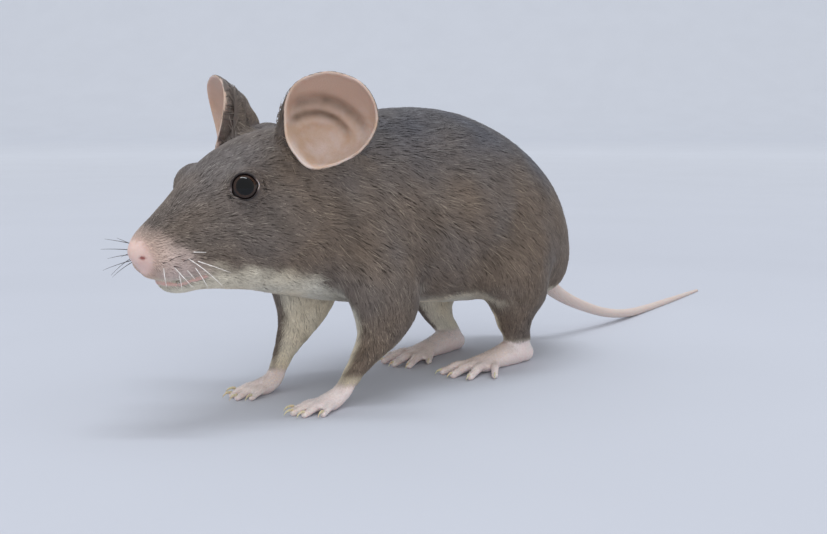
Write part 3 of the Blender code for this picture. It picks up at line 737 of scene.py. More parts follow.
def turned_about_eye(name, profile, side, sides=64, cornered=False):
    """A shape turned about the way the eye looks: profile holds (reach along it, radius) pairs."""
    centre, matrix = eye_frame(side)
    turn = [2 * math.pi * i / sides for i in range(sides)]
    wider = [1 + CORNER_REACH * corner_share(t, side) if cornered else 1 for t in turn]
    rings = []
    for reach, radius in profile:
        ring = []
        for t, w in zip(turn, wider):
            ring.append(centre + matrix @ Vector((radius * w * math.cos(t), radius * w * math.sin(t), reach)))
        rings.append(ring)
    return bridged_rings(name, rings)


def lid_object(side, sides=72):
    """Both lids as one ring: a round margin on the eyeball, and an outside that slopes into the head."""
    centre, matrix = eye_frame(side)
    low = EYE_RADIUS + 0.03
    points, faces = [], []
    for i in range(sides):
        a = 2 * math.pi * i / sides
        thick = LID_THICKNESS * (1 + 0.3 * max(0.0, math.sin(a)))
        opening = LID_OPENING * (1 + CORNER_REACH * corner_share(a, side))
        start = math.asin(opening / low) + thick / 2 / low
        section = [(low + thick / 2 * (1 - math.cos(b)), start - thick / 2 / low * math.sin(b))
                   for b in np.linspace(0.3, math.pi - 0.3, 6)]
        shares = np.linspace(0, 1, 7)
        section += [(low + thick + LID_SWELL * t, start + (LID_END - start) * t) for t in shares]
        section += [(low, start + (LID_END - start) * t) for t in shares[::-1]]
        for away, b in section:
            p = Vector((math.cos(a) * math.sin(b), math.sin(a) * math.sin(b), math.cos(b))) * away
            points.append(centre + matrix @ p)
        count = len(section)
        ring, onward = i * count, (i + 1) % sides * count
        for j in range(count):
            k = (j + 1) % count
            faces.append((ring + k, onward + k, onward + j, ring + j))
    return mesh_object("lid", points, faces)


def socket_object(side):
    """The room for the eyeball and the opening in front of it, a little wider in its corners."""
    room = EYE_RADIUS + 0.1
    opening = LID_OPENING + LID_THICKNESS / 2
    end = math.asin(opening / room)
    angles = np.linspace(math.pi - 0.12, end, 20)
    profile = [(room * math.cos(a), room * math.sin(a)) for a in angles]
    profile += [(2.6, opening + 0.1), (4.5, opening + 1.5)]
    return turned_about_eye("socket", profile, side, 72, True)


print("left eye looks along", [round(c, 2) for c in eye_axis(1)])

# %% [markdown]
# ## The slot of the mouth
# The closed lips meet in a line that runs round the front of the muzzle and rises to its corners. It is cut
# as a thin flat slot along that line, before the last melting step, which rounds its edges as on the living
# animal. Modelling the lips as two rolled edges would show no more at this size.

# %% Slot of the mouth
MOUTH_LEVEL = 18.3
MOUTH_CORNER = (33.4, 4.6, 19.3)
MOUTH_FRONT = 38.0  # how far forward the line between the lips reaches
MOUTH_DEPTH = 0.8
MOUTH_HEIGHT = 0.42
MOUTH_TURN = 74  # degrees that the line bends to each side


def mouth_line(count=25):
    """Points along the line between the lips, from the right corner to the left, and each one's way out."""
    corner = Vector(MOUTH_CORNER)
    points, ways = [], []
    for i in range(count):
        share = -1 + 2 * i / (count - 1)
        angle = share * math.radians(MOUTH_TURN)
        y = corner.y * 1.02 * math.sin(angle)
        x = corner.x - 1.4 + (MOUTH_FRONT - corner.x + 1.4) * math.cos(angle) ** 0.9
        z = MOUTH_LEVEL + (corner.z - MOUTH_LEVEL) * abs(share) ** 3
        points.append(Vector((x, y, z)))
        ways.append(Vector((math.cos(angle), math.sin(angle), 0)))
    return points, ways


def mouth_object():
    points, faces = [], []
    line, ways = mouth_line()
    for p, way in zip(line, ways):
        for out in (-MOUTH_DEPTH, 2.2):
            for up in (-MOUTH_HEIGHT / 2, MOUTH_HEIGHT / 2):
                points.append(p + way * out + Vector((0, 0, up)))
    faces.append((0, 2, 3, 1))
    for i in range(len(line) - 1):
        a, b = i * 4, i * 4 + 4
        faces += [(a, b, b + 2, a + 2), (a + 2, b + 2, b + 3, a + 3), (a + 3, b + 3, b + 1, a + 1)]
        faces.append((a + 1, b + 1, b, a))
    last = (len(line) - 1) * 4
    faces.append((last, last + 1, last + 3, last + 2))
    return mesh_object("mouth", points, faces)


print("front of the mouth:", [round(c, 1) for c in mouth_line()[0][12]])

# %% [markdown]
# ## The whole skin
# First the muscles are melted, then the features are added, the openings are cut, and a last fine melt
# rounds their edges. A house mouse has about seven thousand square millimetres of skin, so a grid of a fifth
# of a millimetre gives far more faces than its flat parts need. The Decimate modifier takes them out where
# the skin is smooth and keeps them on the toes and lips. The lids and ears come last, by Boolean steps,
# because they are only one or two grid steps thick and would lose their clean edges in the melt. The lids
# use the Manifold solver, which closes their thin shell onto the head where the exact one can fail.

# %% Melt the skin
MUSCLE_GRID = 0.7
FEATURE_GRID = 0.25
SKIN_GRID = 0.2
BODY_TRIANGLES = 160000
LOWER_LEG = 5  # the slice of a leg from which it is added again as a finer shape


def buried(slices):
    """The slices, with the first ones narrower, so that the limb leaves the muscles without a ledge."""
    first, second, *rest = slices
    first = first._replace(along=first.along * 0.72, across=first.across * 0.72)
    return (first, second._replace(along=second.along * 0.93, across=second.across * 0.93), *rest)


def muscle_shapes():
    """The big forms, which melt into each other most."""
    muscles = [trunk_object(), ellipsoid_object("lower_lip", *LOWER_LIP)]
    for side in (1, -1):
        muscles.append(leg_object("foreleg", FORELEG, side=side))
        muscles.append(leg_object("hindleg", hind_slices(side), side=side))
        muscles.append(ellipsoid_object("ear_root", mirrored(EAR_ROOT[0], side), EAR_ROOT[1]))
        muscles.append(ellipsoid_object("whisker_pad", mirrored(WHISKER_PAD[0], side), WHISKER_PAD[1]))
        muscles.append(ellipsoid_object("brow", mirrored(BROW[0], side), BROW[1]))
    muscles.append(tube_object("tail", TAIL[:4]))
    return muscles


def feature_shapes(muscles):
    """The melted muscles and what is added to them: tail, lip, lower legs, feet and lobes of the ears."""
    shapes = [refined(melted("body", muscles, MUSCLE_GRID, 10)), tube_object("tail", TAIL)]
    shapes.append(ellipsoid_object("upper_lip", *UPPER_LIP))
    for side in (1, -1):
        shapes.append(leg_object("forearm", buried(FORELEG[LOWER_LEG:]), side=side))
        shapes.append(leg_object("shank", buried(hind_slices(side)[LOWER_LEG:]), side=side))
        shapes.append(tube_object("forepaw", FOREPAW, side=side))
        shapes.append(tube_object("hindfoot", hind_stations(side), side=side))
        shapes += [digit_object(digit, side) for digit in (*FORE_DIGITS, *hind_digits(side))]
        shapes.append(ear_front_object(side))
    return shapes


def cutter_shapes():
    """What is cut out of the body: the slot of the mouth, the nostrils and the hollows of the ears."""
    cutters = [mouth_object()]
    for side in (1, -1):
        centre, radius = NOSTRIL
        radii = [radius * stretch for stretch in NOSTRIL_STRETCH]
        cutters.append(ellipsoid_object("nostril", mirrored(centre, side), radii, 16))
        cutters.append(ear_hollow(side))
    return cutters


def whole_skin():
    body = melted("body", feature_shapes(muscle_shapes()), FEATURE_GRID, 4)
    for cutter in cutter_shapes():
        combined(body, cutter)
    skin = melted("skin", [body], SKIN_GRID, 3)
    faces = 2 * len(skin.data.polygons)
    thin = skin.modifiers.new("Thin", "DECIMATE")
    thin.ratio = min(1.0, BODY_TRIANGLES / faces)
    settled(skin)
    for side in (1, -1):
        combined(skin, socket_object(side))
        combined(skin, lid_object(side), "UNION", "MANIFOLD")
        combined(skin, ear_object(side), "UNION")
    skin.data.calc_loop_triangles()
    print("skin triangles:", faces, "thinned, with ears:", len(skin.data.loop_triangles))
    return skin


skin = whole_skin()

# %% [markdown]
# ## Creases of the loose skin
# The skin of a mouse hangs loosely, so it is drawn in where the thigh and the upper arm meet the flank and
# where the neck turns. A sculptor would draw these creases with a brush. Here each one is a stroke through a
# few points of the left side, and every point of the skin near a stroke is drawn in, on both sides alike.

# %% Draw the creases
Crease = namedtuple("Crease", "path width depth")
CREASES = (
    Crease(((-11.4, 11.3, 13.4), (-9.7, 11.1, 16.6), (-10.4, 11.8, 19.3), (-15.2, 12.2, 23.9)), 1.25, 0.55),
    Crease(((4.0, 10.2, 14.0), (2.7, 9.7, 18.0), (2.4, 10.2, 21.4), (3.8, 9.8, 27.0)), 1.3, 0.45),
    Crease(((18.1, 7.8, 28.3), (16.7, 8.1, 26.3), (15.2, 8.3, 23.8), (14.2, 8.1, 20.6)), 1.2, 0.4),
    Crease(((23.8, 6.4, 24.6), (26.6, 6.1, 25.6), (28.6, 5.9, 25.6)), 0.8, 0.2),
    Crease(((37.5, 0.8, 18.2), (36.6, 2.0, 18.2), (35.0, 2.9, 18.4), (33.2, 3.6, 19.0)), 0.3, 0.3),
)
STROKE_SPAN = 14  # millimetres from the middle of a stroke within which points are tested


def mesh_points(mesh):
    flat = np.empty(len(mesh.vertices) * 3, np.float32)
    mesh.vertices.foreach_get("co", flat)
    return flat.reshape(-1, 3).astype(float)


def mesh_normals(mesh):
    flat = np.empty(len(mesh.vertices) * 3, np.float32)
    mesh.vertex_normals.foreach_get("vector", flat)
    return flat.reshape(-1, 3).astype(float)


def left_side(points):
    """The points mirrored to the left side of the mouse, where the tables are."""
    return np.column_stack([points[:, 0], np.abs(points[:, 1]), points[:, 2]])


def near_strokes(points):
    """How far the creases draw in each point, in millimetres, and how much it lies in one, 0 to 1."""
    drawn, inside = np.zeros(len(points)), np.zeros(len(points))
    left = left_side(points)
    for path, width, depth in CREASES:
        line = smooth_rows(path, 12)
        near = np.nonzero(np.linalg.norm(left - line.mean(axis=0), axis=1) < STROKE_SPAN)[0]
        apart = np.linalg.norm(left[near, None] - line[None], axis=2)
        closest = apart.argmin(axis=1)
        fade = np.sin(np.pi * (0.08 + 0.84 * closest / (len(line) - 1))) ** 0.5
        hollow = np.exp(-((apart.min(axis=1) / width) ** 2)) * fade
        drawn[near] += depth * hollow
        inside[near] = np.maximum(inside[near], hollow)
    return drawn, inside


def crease_skin():
    points = mesh_points(skin.data)
    drawn, _ = near_strokes(points)
    points -= mesh_normals(skin.data) * drawn[:, None]
    skin.data.vertices.foreach_set("co", points.astype(np.float32).ravel())
    skin.data.update()
    return points


skin_points = crease_skin()
skin_normals = mesh_normals(skin.data)
print("points drawn in:", int((near_strokes(skin_points)[1] > 0.1).sum()))

# %% [markdown]
# ## Where each kind of skin is
# The coat is slate grey and agouti above and paler below, with a soft, wavering border low on the flank and
# along the jaw. The nose, the lips, the feet, the tail and the inside of the ears are bare and pink. These
# areas are worked out once, as numbers from 0 to 1 at every point of the skin, and both the skin and the
# coat use them, so the markings agree. Painting an image by hand would also work, but it would not follow
# the form when a size is changed.

# %% Helpers for smooth borders


def ramp(value, low, high):
    """0 below low, 1 above high, and a smooth rise between them."""
    share = np.clip((value - low) / (high - low), 0.0, 1.0)
    return share * share * (3 - 2 * share)


def within(distance, full, none):
    """1 where the distance is below full, 0 where it is above none, and a smooth fall between them."""
    return ramp(-distance, -none, -full)


def drift(points, spacing, seed):
    """A smooth random field, mostly from -1 to 1, whose hills lie about one spacing apart."""
    rng = np.random.default_rng(seed)
    total = np.zeros(len(points))
    for _ in range(8):
        way = rng.normal(size=3)
        way /= np.linalg.norm(way)
        turns = 2 * np.pi * rng.uniform(0.6, 1.5) / spacing
        total += np.sin(points @ way * turns + rng.uniform(0, 6.28))
    return total / 4


print("drift over the skin reaches", round(float(np.abs(drift(skin_points, 4.0, 11)).max()), 2))

# %% [markdown]
# ## Inside and back of the ears
# The cup is bare and pink, its back is furred, and the furrows carry painted shade where they are deep. Each
# point of the skin near an ear looks up the closest face of the ear's own shell, whose number says which ring
# it belongs to. Testing the normals instead would fail at the rolled rim.

# %% Areas of the ears
EARS_ABOVE = 27  # the level above which, and
EARS_BEFORE = 8  # the place in front of which points can lie on an ear


def near_ears(points):
    return np.nonzero((points[:, 2] > EARS_ABOVE) & (points[:, 0] > EARS_BEFORE))[0]


def ear_faces(side):
    """A tree of an ear's faces for nearest-point searches, and how many faces each of its sectors has."""
    points, faces = ear_mesh(side)
    return BVHTree.FromPolygons(points, faces), len(faces) // EAR_SECTORS


def ear_areas(points):
    """The inside of the ears with their rims, their backs, their tops, and the painted shade in the furrows.
    """
    inside, back, top, fold = (np.zeros(len(points)) for _ in range(4))
    near = near_ears(points)
    for side in (1, -1):
        tree, per_sector = ear_faces(side)
        _, across, upward = ear_axes(side)
        for i in near:
            hit = tree.find_nearest(points[i], 0.06)
            if hit[0] is None:
                continue
            step = hit[2] % per_sector
            inside[i] = step == 0 or 2 <= step < EAR_RINGS + EAR_RIM_STEPS
            back[i] = not inside[i]
            q = Vector(points[i]) - Vector(mirrored(EAR_CENTRE, side))
            up = q.dot(upward) / EAR_HALF_HEIGHT
            rear = q.dot(across) / EAR_HALF_WIDTH
            # Painted shade in the furrows, from how deep they are.
            fold[i] = inside[i] * furrow(rear, up)[1]
            top[i] = inside[i] * ramp(up, -0.3, 0.6) * (1.0 if step < EAR_RINGS + 1 else 0.5)
    return {"ear": inside, "ear_back": back, "ear_top": top, "fold": fold}


print("points near the ears:", len(near_ears(skin_points)))

# %% [markdown]
# ## Lips and eyes
# The lower lip shows as a thin pink line under the mouth. It follows a few points from the chin to the
# corner.
# The lids are dark, with pale pink in the two corners of each eye: partly pink skin, partly a painted wet
# glint.

# %% Areas of the lips and the eyes
LIP_LINE = ((37.5, 0.0, 17.9), (36.9, 1.4, 17.9), (35.6, 2.4, 17.9), (34.4, 2.9, 18.2), (33.1, 3.4, 18.6))
FAR_AWAY = 9.0
NEAR_EYE = 3.2  # millimetres from an eye's middle within which its lids lie


def nearest_lip(points):
    """How far each point is from the edge of the lower lip."""
    line = smooth_rows(LIP_LINE, 10)
    away = np.full(len(points), FAR_AWAY)
    near = np.nonzero((points[:, 0] > 31) & (points[:, 2] < 21))[0]
    left = left_side(points[near])
    away[near] = np.linalg.norm(left[:, None] - line[None], axis=2).min(axis=1)
    return away


def from_left_eye(points):
    """Where the points lie from the eye's middle, how far, and how far across the way it looks."""
    from_eye = left_side(points) - np.array(EYE_CENTRE)
    look = np.array(EYE_LOOKS) / np.linalg.norm(EYE_LOOKS)
    across = np.linalg.norm(from_eye - np.outer(from_eye @ look, look), axis=1)
    return from_eye, np.linalg.norm(from_eye, axis=1), across


def eye_corners(from_eye):
    """1 in the corners of the left eye, for points measured from its middle."""
    local = from_eye @ np.array(eye_frame(1)[1])
    turn = np.arctan2(local[:, 1], local[:, 0])
    share = np.zeros(len(turn))
    for corner in LID_CORNERS:
        away = (turn - math.radians(corner) + np.pi) % (2 * np.pi) - np.pi
        share += np.exp(-((away / CORNER_WIDTH) ** 2))
    return share


def eye_areas(points):
    from_eye, away, across = from_left_eye(points)
    lid = np.maximum(within(across, 1.65, 1.85) * (away < NEAR_EYE), away < EYE_RADIUS + 0.17)
    return {"lid": lid, "corner": eye_corners(from_eye) * lid, "eyelid": within(away, 2.6, 3.6)}


print("points of the lower lip:", int((nearest_lip(skin_points) < 0.3).sum()))

# %% [markdown]
# ## Pale, bare and furred skin
# The border between grey and pale is a line over the length of the body, given by its height at a few
# places, and two fields of random drift make it waver. On the legs the pale colour lies on the side that
# faces the body. Last comes the area that counts most, the fur: one less whatever is bare.

# %% Areas of the whole skin
PALE_BORDER = (  # places along x, and the height there below which the fur is pale
    *((-38, 11), (-22, 11.5), (-12, 12.4), (-9, 13.1), (-6, 12.2), (0, 12.2), (8, 12.8), (11, 13.4)),
    *((14.5, 15), (17.5, 16.9), (20.5, 18.1), (23.5, 19), (27, 19.4), (31, 19.4), (33.5, 20)),
    *((35.5, 21), (37, 22.2), (38.5, 23.2), (39.5, 24.2)),
)
FOOT_FUR = 0.35  # how thick the short hair on the feet is, compared with the back
WRIST_STEP = 0.9  # how much lower the border of the bare skin lies on the forefeet


def in_leg(points, slices, side_y):
    """How far inside or outside a leg's own ovals the points lie: 1 is on its surface."""
    rows = smooth_rows(slices, 4)[::-1]
    z = points[:, 2]
    x, y, along, across = (np.interp(z, rows[:, 0], rows[:, k]) for k in (1, 2, 3, 4))
    return ((points[:, 0] - x) / along) ** 2 + ((side_y - y) / across) ** 2


def leg_area(points, y):
    hind = np.where(points[:, 1] > 0, in_leg(points, HINDLEG, y), in_leg(points, hind_slices(-1), y))
    return within(np.minimum(in_leg(points, FORELEG, y), hind), 1.3, 1.8) * within(points[:, 2], 15.0, 18.0)


def pale_area(points, normals, leg, waver):
    """Pale below the border on the body, and on the inner sides and the wrists of the legs."""
    x, z = points[:, 0], points[:, 2]
    inward = -normals[:, 1] * np.sign(points[:, 1])
    hidden = np.maximum(inward, -normals[:, 2] - 0.5)
    hidden = ramp(hidden + 0.15 * waver, np.where(x < 0, 0.1, -0.1), np.where(x < 0, 0.6, 0.5))
    wrist = within(z, 3.6, 4.9) * 0.7
    soft = np.interp(x, (29, 35), (1.0, 1.5))
    border = np.interp(x, *zip(*PALE_BORDER))
    pale = ramp((border - z + waver) / soft, -1.0, 1.0)
    return pale * (1 - leg) + np.maximum(hidden, wrist) * leg


def skin_areas(points, normals):
    """Every area of the skin, as one number from 0 to 1 at each point."""
    x, z = points[:, 0], points[:, 2]
    y = np.abs(points[:, 1])
    waver = 0.45 * drift(points, 4.0, 11) + 0.3 * drift(points, 1.3, 12)
    leg = leg_area(points, y)
    tail = within(x, -38.2, -36.6)
    foot = ramp(-z + 0.2 * waver - np.where(x > 0, WRIST_STEP, 0), -4.5, -3.3) * (1 - tail)
    from_nose = np.linalg.norm(points - np.array(NOSE_TIP), axis=1) + 0.15 * waver
    from_hole = (left_side(points) - np.array(NOSTRIL[0])) / np.array(NOSTRIL_STRETCH)
    areas = {"nose": within(from_nose, 1.8, 3.7), "tail": tail, "foot": foot, "leg": leg}
    pale = pale_area(points, normals, leg, waver)
    areas["pale"] = np.maximum(pale, np.maximum(foot, within(from_nose, 2.4, 3.7)))
    areas["pad"] = ramp(x, 32.0, 35.5) * ramp(z, 18.2, 19.4)
    areas["nostril"] = within(np.linalg.norm(from_hole, axis=1), 0.2, 0.4)
    areas["lip"] = within(nearest_lip(points), 0.18, 0.42)
    areas.update(ear_areas(points))
    areas.update(eye_areas(points))
    # Upward-facing fur of the back and head: partly a darker dorsum, partly a painted bluish reflection of
    # the sky above.
    areas["dorsum_and_sky_sheen"] = ramp(normals[:, 2], 0.1, 0.85) * ramp(z, 18, 24) * np.interp(x, (12, 22), (1, 0.4))
    # Painted shade: the coat is darker along the creases of the skin.
    areas["crease_shade"] = near_strokes(points)[1]
    bare = [areas[name] for name in ("tail", "ear", "lip", "lid")]
    bare += [within(from_nose, 2.0, 3.3), foot * (1 - FOOT_FUR * ramp(normals[:, 2], 0.1, 0.7))]
    areas["fur"] = 1 - np.maximum.reduce(bare)
    return areas


areas = skin_areas(skin_points, skin_normals)
print("share of each area:", {name: round(float(a.mean()), 3) for name, a in areas.items()})

# %% [markdown]
# ## Depth of the coat
# The slices give the outside of the coat. The skin under it lies deeper: almost half a millimetre on the
# body, and less on the face and legs. So the skin's points are moved in along their normals by the depth of
# the coat at each place, and not at all where the mouse is bare. Its areas are stored on the mesh as
# attributes, which its material reads.

# %% Sink the skin below the coat
BODY_DEPTH = 0.42
HEAD_DEPTH = 0.26
MUZZLE_DEPTH = 0.14
EAR_BACK_DEPTH = 0.04


def coat_depth(points, areas):
    """How thick the lying coat is at each point, in millimetres."""
    x, z = points[:, 0], points[:, 2]
    depth = np.interp(x, (10, 22, 33, 38), (BODY_DEPTH, HEAD_DEPTH, HEAD_DEPTH, MUZZLE_DEPTH))
    depth = depth * np.interp(z, (4, 12), (0.4, 1)) * (1 - areas["leg"] * 0.35)
    depth = depth * (1 - areas["ear_back"]) + EAR_BACK_DEPTH * areas["ear_back"]
    depth = depth * (1 - 0.7 * areas["eyelid"])
    return depth * areas["fur"]


def cavities(points, normals):
    """1 in the creases between toes and over joints, from how far the neighbours of a point stand out."""
    edges = np.empty(len(skin.data.edges) * 2, np.int32)
    skin.data.edges.foreach_get("vertices", edges)
    a, b = edges.reshape(-1, 2).T
    between = points[b] - points[a]
    length = np.maximum(np.linalg.norm(between, axis=1), 1e-6)
    rise, count = np.zeros(len(points)), np.zeros(len(points))
    for one, way in ((a, between), (b, -between)):
        np.add.at(rise, one, (way * normals[one]).sum(axis=1) / length)
        np.add.at(count, one, 1)
    rise /= np.maximum(count, 1)
    for _ in range(2):
        spread_out = rise.copy()
        np.add.at(spread_out, a, rise[b])
        np.add.at(spread_out, b, rise[a])
        rise = spread_out / (count + 1)
    return ramp(rise, 0.04, 0.3)


def add_values(mesh, name, values):
    """Stores one number at every point of a mesh, which its material can read."""
    layer = mesh.attributes.new(name, "FLOAT", "POINT")
    layer.data.foreach_set("value", np.asarray(values).astype(np.float32))


def finish_skin():
    depth = coat_depth(skin_points, areas)
    # How hollow the skin is, for the painted shade in the hollows of bare skin.
    areas["cavity_shade"] = cavities(skin_points, skin_normals)
    inner = skin_points - skin_normals * depth[:, None]
    inner[:, 2] = np.maximum(inner[:, 2], 0.0)
    for name, values in areas.items():
        add_values(skin.data, name, values)
    skin.data.vertices.foreach_set("co", place(inner).astype(np.float32).ravel())
    skin.data.update()
    skin.data.shade_smooth()
    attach(skin, "root")
    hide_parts(*[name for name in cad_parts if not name.startswith("eye")])
    return inner


under_coat = finish_skin()
print("skin points:", len(under_coat))

# %% [markdown]
# ## Colours and a small kit for materials
# The colours are mixed as a painter would name them from the photograph: slate, warm brown-grey, cream and
# rose. They are written as screen values from 0 to 255 and turned into the linear values that the renderer
# works with.

# %% Helpers for colours and links


def tint(red, green, blue):
    """A colour given in screen values, as the linear values of light."""
    channels = [c / 255 for c in (red, green, blue)]
    return tuple(c / 12.92 if c <= 0.04045 else ((c + 0.055) / 1.055) ** 2.4 for c in channels)


def new_material(name):
    material = bpy.data.materials.new(name)
    material.use_nodes = True
    tree = material.node_tree
    return material, tree, tree.nodes["Principled BSDF"]


def feed(tree, socket, value):
    """Links a socket to another, or sets it to a number or colour."""
    if isinstance(value, bpy.types.NodeSocket):
        tree.links.new(value, socket)
    elif hasattr(value, "__len__") and len(value) == 3 and socket.type == "RGBA":
        socket.default_value = (*value, 1.0)
    else:
        socket.default_value = value


def number(tree, kind, *values):
    """The outcome of a sum, such as ADD or MULTIPLY, on sockets or plain numbers."""
    step = tree.nodes.new("ShaderNodeMath")
    step.operation = kind
    for socket, value in zip(step.inputs, values):
        feed(tree, socket, value)
    return step.outputs[0]


def mixed(tree, share, a, b, blend="MIX"):
    """Colour a where the share is 0 and colour b where it is 1."""
    step = tree.nodes.new("ShaderNodeMix")
    step.data_type = "RGBA"
    step.blend_type = blend
    feed(tree, step.inputs[0], share)
    feed(tree, step.inputs[6], a)
    feed(tree, step.inputs[7], b)
    return step.outputs[2]


print("middle grey, as light:", [round(c, 3) for c in tint(128, 128, 128)])

# %% [markdown]
# ## Patterns and relief
# A pattern is a number that changes over the surface: a value stored on the mesh, or a noise. It is spread
# to the range that a colour or a roughness needs. A bump turns it into relief without adding any faces.

# %% Helpers for patterns


def attribute(tree, name):
    """A value that is stored at the points of the mesh."""
    step = tree.nodes.new("ShaderNodeAttribute")
    step.attribute_name = name
    return step.outputs["Fac"]


def noise(tree, size, detail=2.0, roughness=0.5, stretch=(1, 1, 1)):
    """Noise whose grains are about this many millimetres across."""
    place_node = tree.nodes.new("ShaderNodeTexCoord")
    scaled = tree.nodes.new("ShaderNodeMapping")
    scaled.inputs["Scale"].default_value = stretch
    tree.links.new(place_node.outputs["Object"], scaled.inputs["Vector"])
    step = tree.nodes.new("ShaderNodeTexNoise")
    step.inputs["Scale"].default_value = 1 / (size * MM)
    step.inputs["Detail"].default_value = detail
    step.inputs["Roughness"].default_value = roughness
    tree.links.new(scaled.outputs[0], step.inputs["Vector"])
    return step.outputs["Fac"]


def spread(tree, value, low, high, to_low=0.0, to_high=1.0):
    """Maps the range from low to high onto the range from to_low to to_high."""
    step = tree.nodes.new("ShaderNodeMapRange")
    for socket, part in zip(step.inputs, (value, low, high, to_low, to_high)):
        feed(tree, socket, part)
    return step.outputs[0]


def bumped(tree, shader, height, distance, strength=1.0, after=None):
    """Gives a shader a fine relief of this many millimetres."""
    step = tree.nodes.new("ShaderNodeBump")
    step.inputs["Strength"].default_value = strength
    step.inputs["Distance"].default_value = distance * MM
    feed(tree, step.inputs["Height"], height)
    if after is not None:
        tree.links.new(after, step.inputs["Normal"])
    tree.links.new(step.outputs[0], shader.inputs["Normal"])
    return step.outputs[0]


print("helpers:", [helper.__name__ for helper in (attribute, noise, spread, bumped)])

# %% [markdown]
# ## The skin's finish
# Bare skin of a mouse is thin and rosy, with fine wrinkles on the feet, rings of scales on the tail and
# small veins in the ears, which are not drawn. Under the coat it is dark, since what shows between the hairs
# is the shade of the underfur. One material mixes these by the areas. The rings are a wave along the tail,
# and the relief is bump, because each ring is only a third of a millimetre wide.

# %% Colours of the skin
UNDERFUR = tint(92, 82, 76)
PALE_UNDERFUR = tint(205, 192, 178)
PAD_UNDERFUR = tint(188, 160, 150)
ROSE = tint(228, 200, 190)
DEEP_ROSE = tint(196, 140, 130)
FOOT_ROSE = tint(242, 228, 224)
TAIL_ROSE = tint(218, 205, 196)
EAR_PINK = tint(214, 196, 188)
EAR_BEIGE = tint(200, 172, 150)
EAR_TOP = tint(194, 164, 146)
FURROW_SHADE = tint(126, 106, 90)
EAR_BACK_GREY = tint(120, 108, 104)
LID_DARK = tint(38, 30, 29)
CORNER_PINK_GLINT = tint(228, 206, 200)
LIP_RED = tint(208, 168, 158)
NOSTRIL_RED = tint(150, 84, 78)

print("rose, as light:", [round(c, 3) for c in ROSE])

# %% Material of the skin
TAIL_RING = 0.36  # millimetres from one ring of scales to the next


def bare_share(tree):
    return number(tree, "SUBTRACT", 1.0, attribute(tree, "fur"))


def ear_colour(tree, broad):
    """Pink and beige in broad patches, deeper at the top, and painted shade in the furrows."""
    ear = mixed(tree, spread(tree, broad, 0.35, 0.65), EAR_PINK, EAR_BEIGE)
    ear = mixed(tree, attribute(tree, "ear_top"), ear, EAR_TOP)
    broken = spread(tree, noise(tree, 2.8, 2.0), 0.3, 0.65, 0.5, 1.0)
    return mixed(tree, number(tree, "MULTIPLY", attribute(tree, "fold"), broken), ear, FURROW_SHADE)


def tail_rings(tree, fine):
    """A wave along the tail, from -1 to 1, with one turn for each ring of scales."""
    along = tree.nodes.new("ShaderNodeSeparateXYZ")
    tree.links.new(tree.nodes.new("ShaderNodeTexCoord").outputs["Object"], along.inputs[0])
    turns = number(tree, "MULTIPLY", along.outputs["X"], 2 * math.pi / (TAIL_RING * MM))
    return number(tree, "SINE", number(tree, "ADD", turns, number(tree, "MULTIPLY", fine, 2.5)))


def skin_material():
    material, tree, shader = new_material("bare_skin")
    fine = noise(tree, 0.25, 4.0, 0.6)
    broad = noise(tree, 2.5, 3.0)
    colour = mixed(tree, attribute(tree, "pale"), UNDERFUR, PALE_UNDERFUR)
    pale_pad = number(tree, "MULTIPLY", attribute(tree, "pad"), attribute(tree, "pale"))
    colour = mixed(tree, pale_pad, colour, PAD_UNDERFUR)
    rose = mixed(tree, spread(tree, broad, 0.35, 0.65), ROSE, DEEP_ROSE)
    colour = mixed(tree, attribute(tree, "nose"), colour, mixed(tree, 0.35, ROSE, rose))
    foot = mixed(tree, spread(tree, fine, 0.4, 0.75, 0.0, 0.3), FOOT_ROSE, DEEP_ROSE)
    colour = mixed(tree, attribute(tree, "foot"), colour, foot)
    colour = mixed(tree, attribute(tree, "ear"), colour, ear_colour(tree, broad))
    colour = mixed(tree, attribute(tree, "ear_back"), colour, EAR_BACK_GREY)
    rings = tail_rings(tree, fine)
    ringed = mixed(tree, spread(tree, rings, -1.0, 0.2, 0.35, 0.0), TAIL_ROSE, DEEP_ROSE)
    colour = mixed(tree, attribute(tree, "tail"), colour, ringed)
    colour = mixed(tree, attribute(tree, "lip"), colour, LIP_RED)
    colour = mixed(tree, attribute(tree, "nostril"), colour, NOSTRIL_RED)
    colour = mixed(tree, attribute(tree, "lid"), colour, LID_DARK)
    # Pale pink in the corners of the eyes: partly pink skin, partly a painted wet glint.
    colour = mixed(tree, attribute(tree, "corner"), colour, CORNER_PINK_GLINT)
    # Painted shade: bare skin turns deeper rose in hollows, such as the creases between the toes.
    hollow = number(tree, "MULTIPLY", attribute(tree, "cavity_shade"), bare_share(tree))
    colour = mixed(tree, number(tree, "MULTIPLY", hollow, 0.55), colour, DEEP_ROSE)
    feed(tree, shader.inputs["Base Color"], colour)
    feed(tree, shader.inputs["Roughness"], spread(tree, bare_share(tree), 0.0, 1.0, 0.8, 0.48))
    shader.inputs["Subsurface Weight"].default_value = 0.2
    shader.inputs["Subsurface Radius"].default_value = (1.0, 0.45, 0.3)
    shader.inputs["Subsurface Scale"].default_value = 1.2 * MM
    ring_relief = number(tree, "MULTIPLY", rings, attribute(tree, "tail"))
    pores = bumped(tree, shader, fine, 0.06)
    bumped(tree, shader, ring_relief, 0.03, 1.0, pores)
    return material


skin.data.materials.clear()
skin.data.materials.append(skin_material())
print("skin material:", len(skin.data.materials[0].node_tree.nodes), "nodes")

# %% [markdown]
# ## The lie of the coat
# Short fur grows backwards from the nose, over the cheeks and down the flanks, steeper on the shoulder and
# the hip, and straight down the legs. The direction is written as an angle below the horizontal that changes
# along the body, and is then laid flat on the skin. Small random turns that neighbouring hairs share make
# them gather in locks.

# %% Direction of the hairs
LIE_X = (-40, -34, -28, -20, -10, -2, 5, 10, 15, 20, 26, 34, 42)
LIE_DOWN = (86, 78, 60, 44, 30, 27, 38, 38, 28, 20, 14, 6, 0)  # degrees, halfway up the body


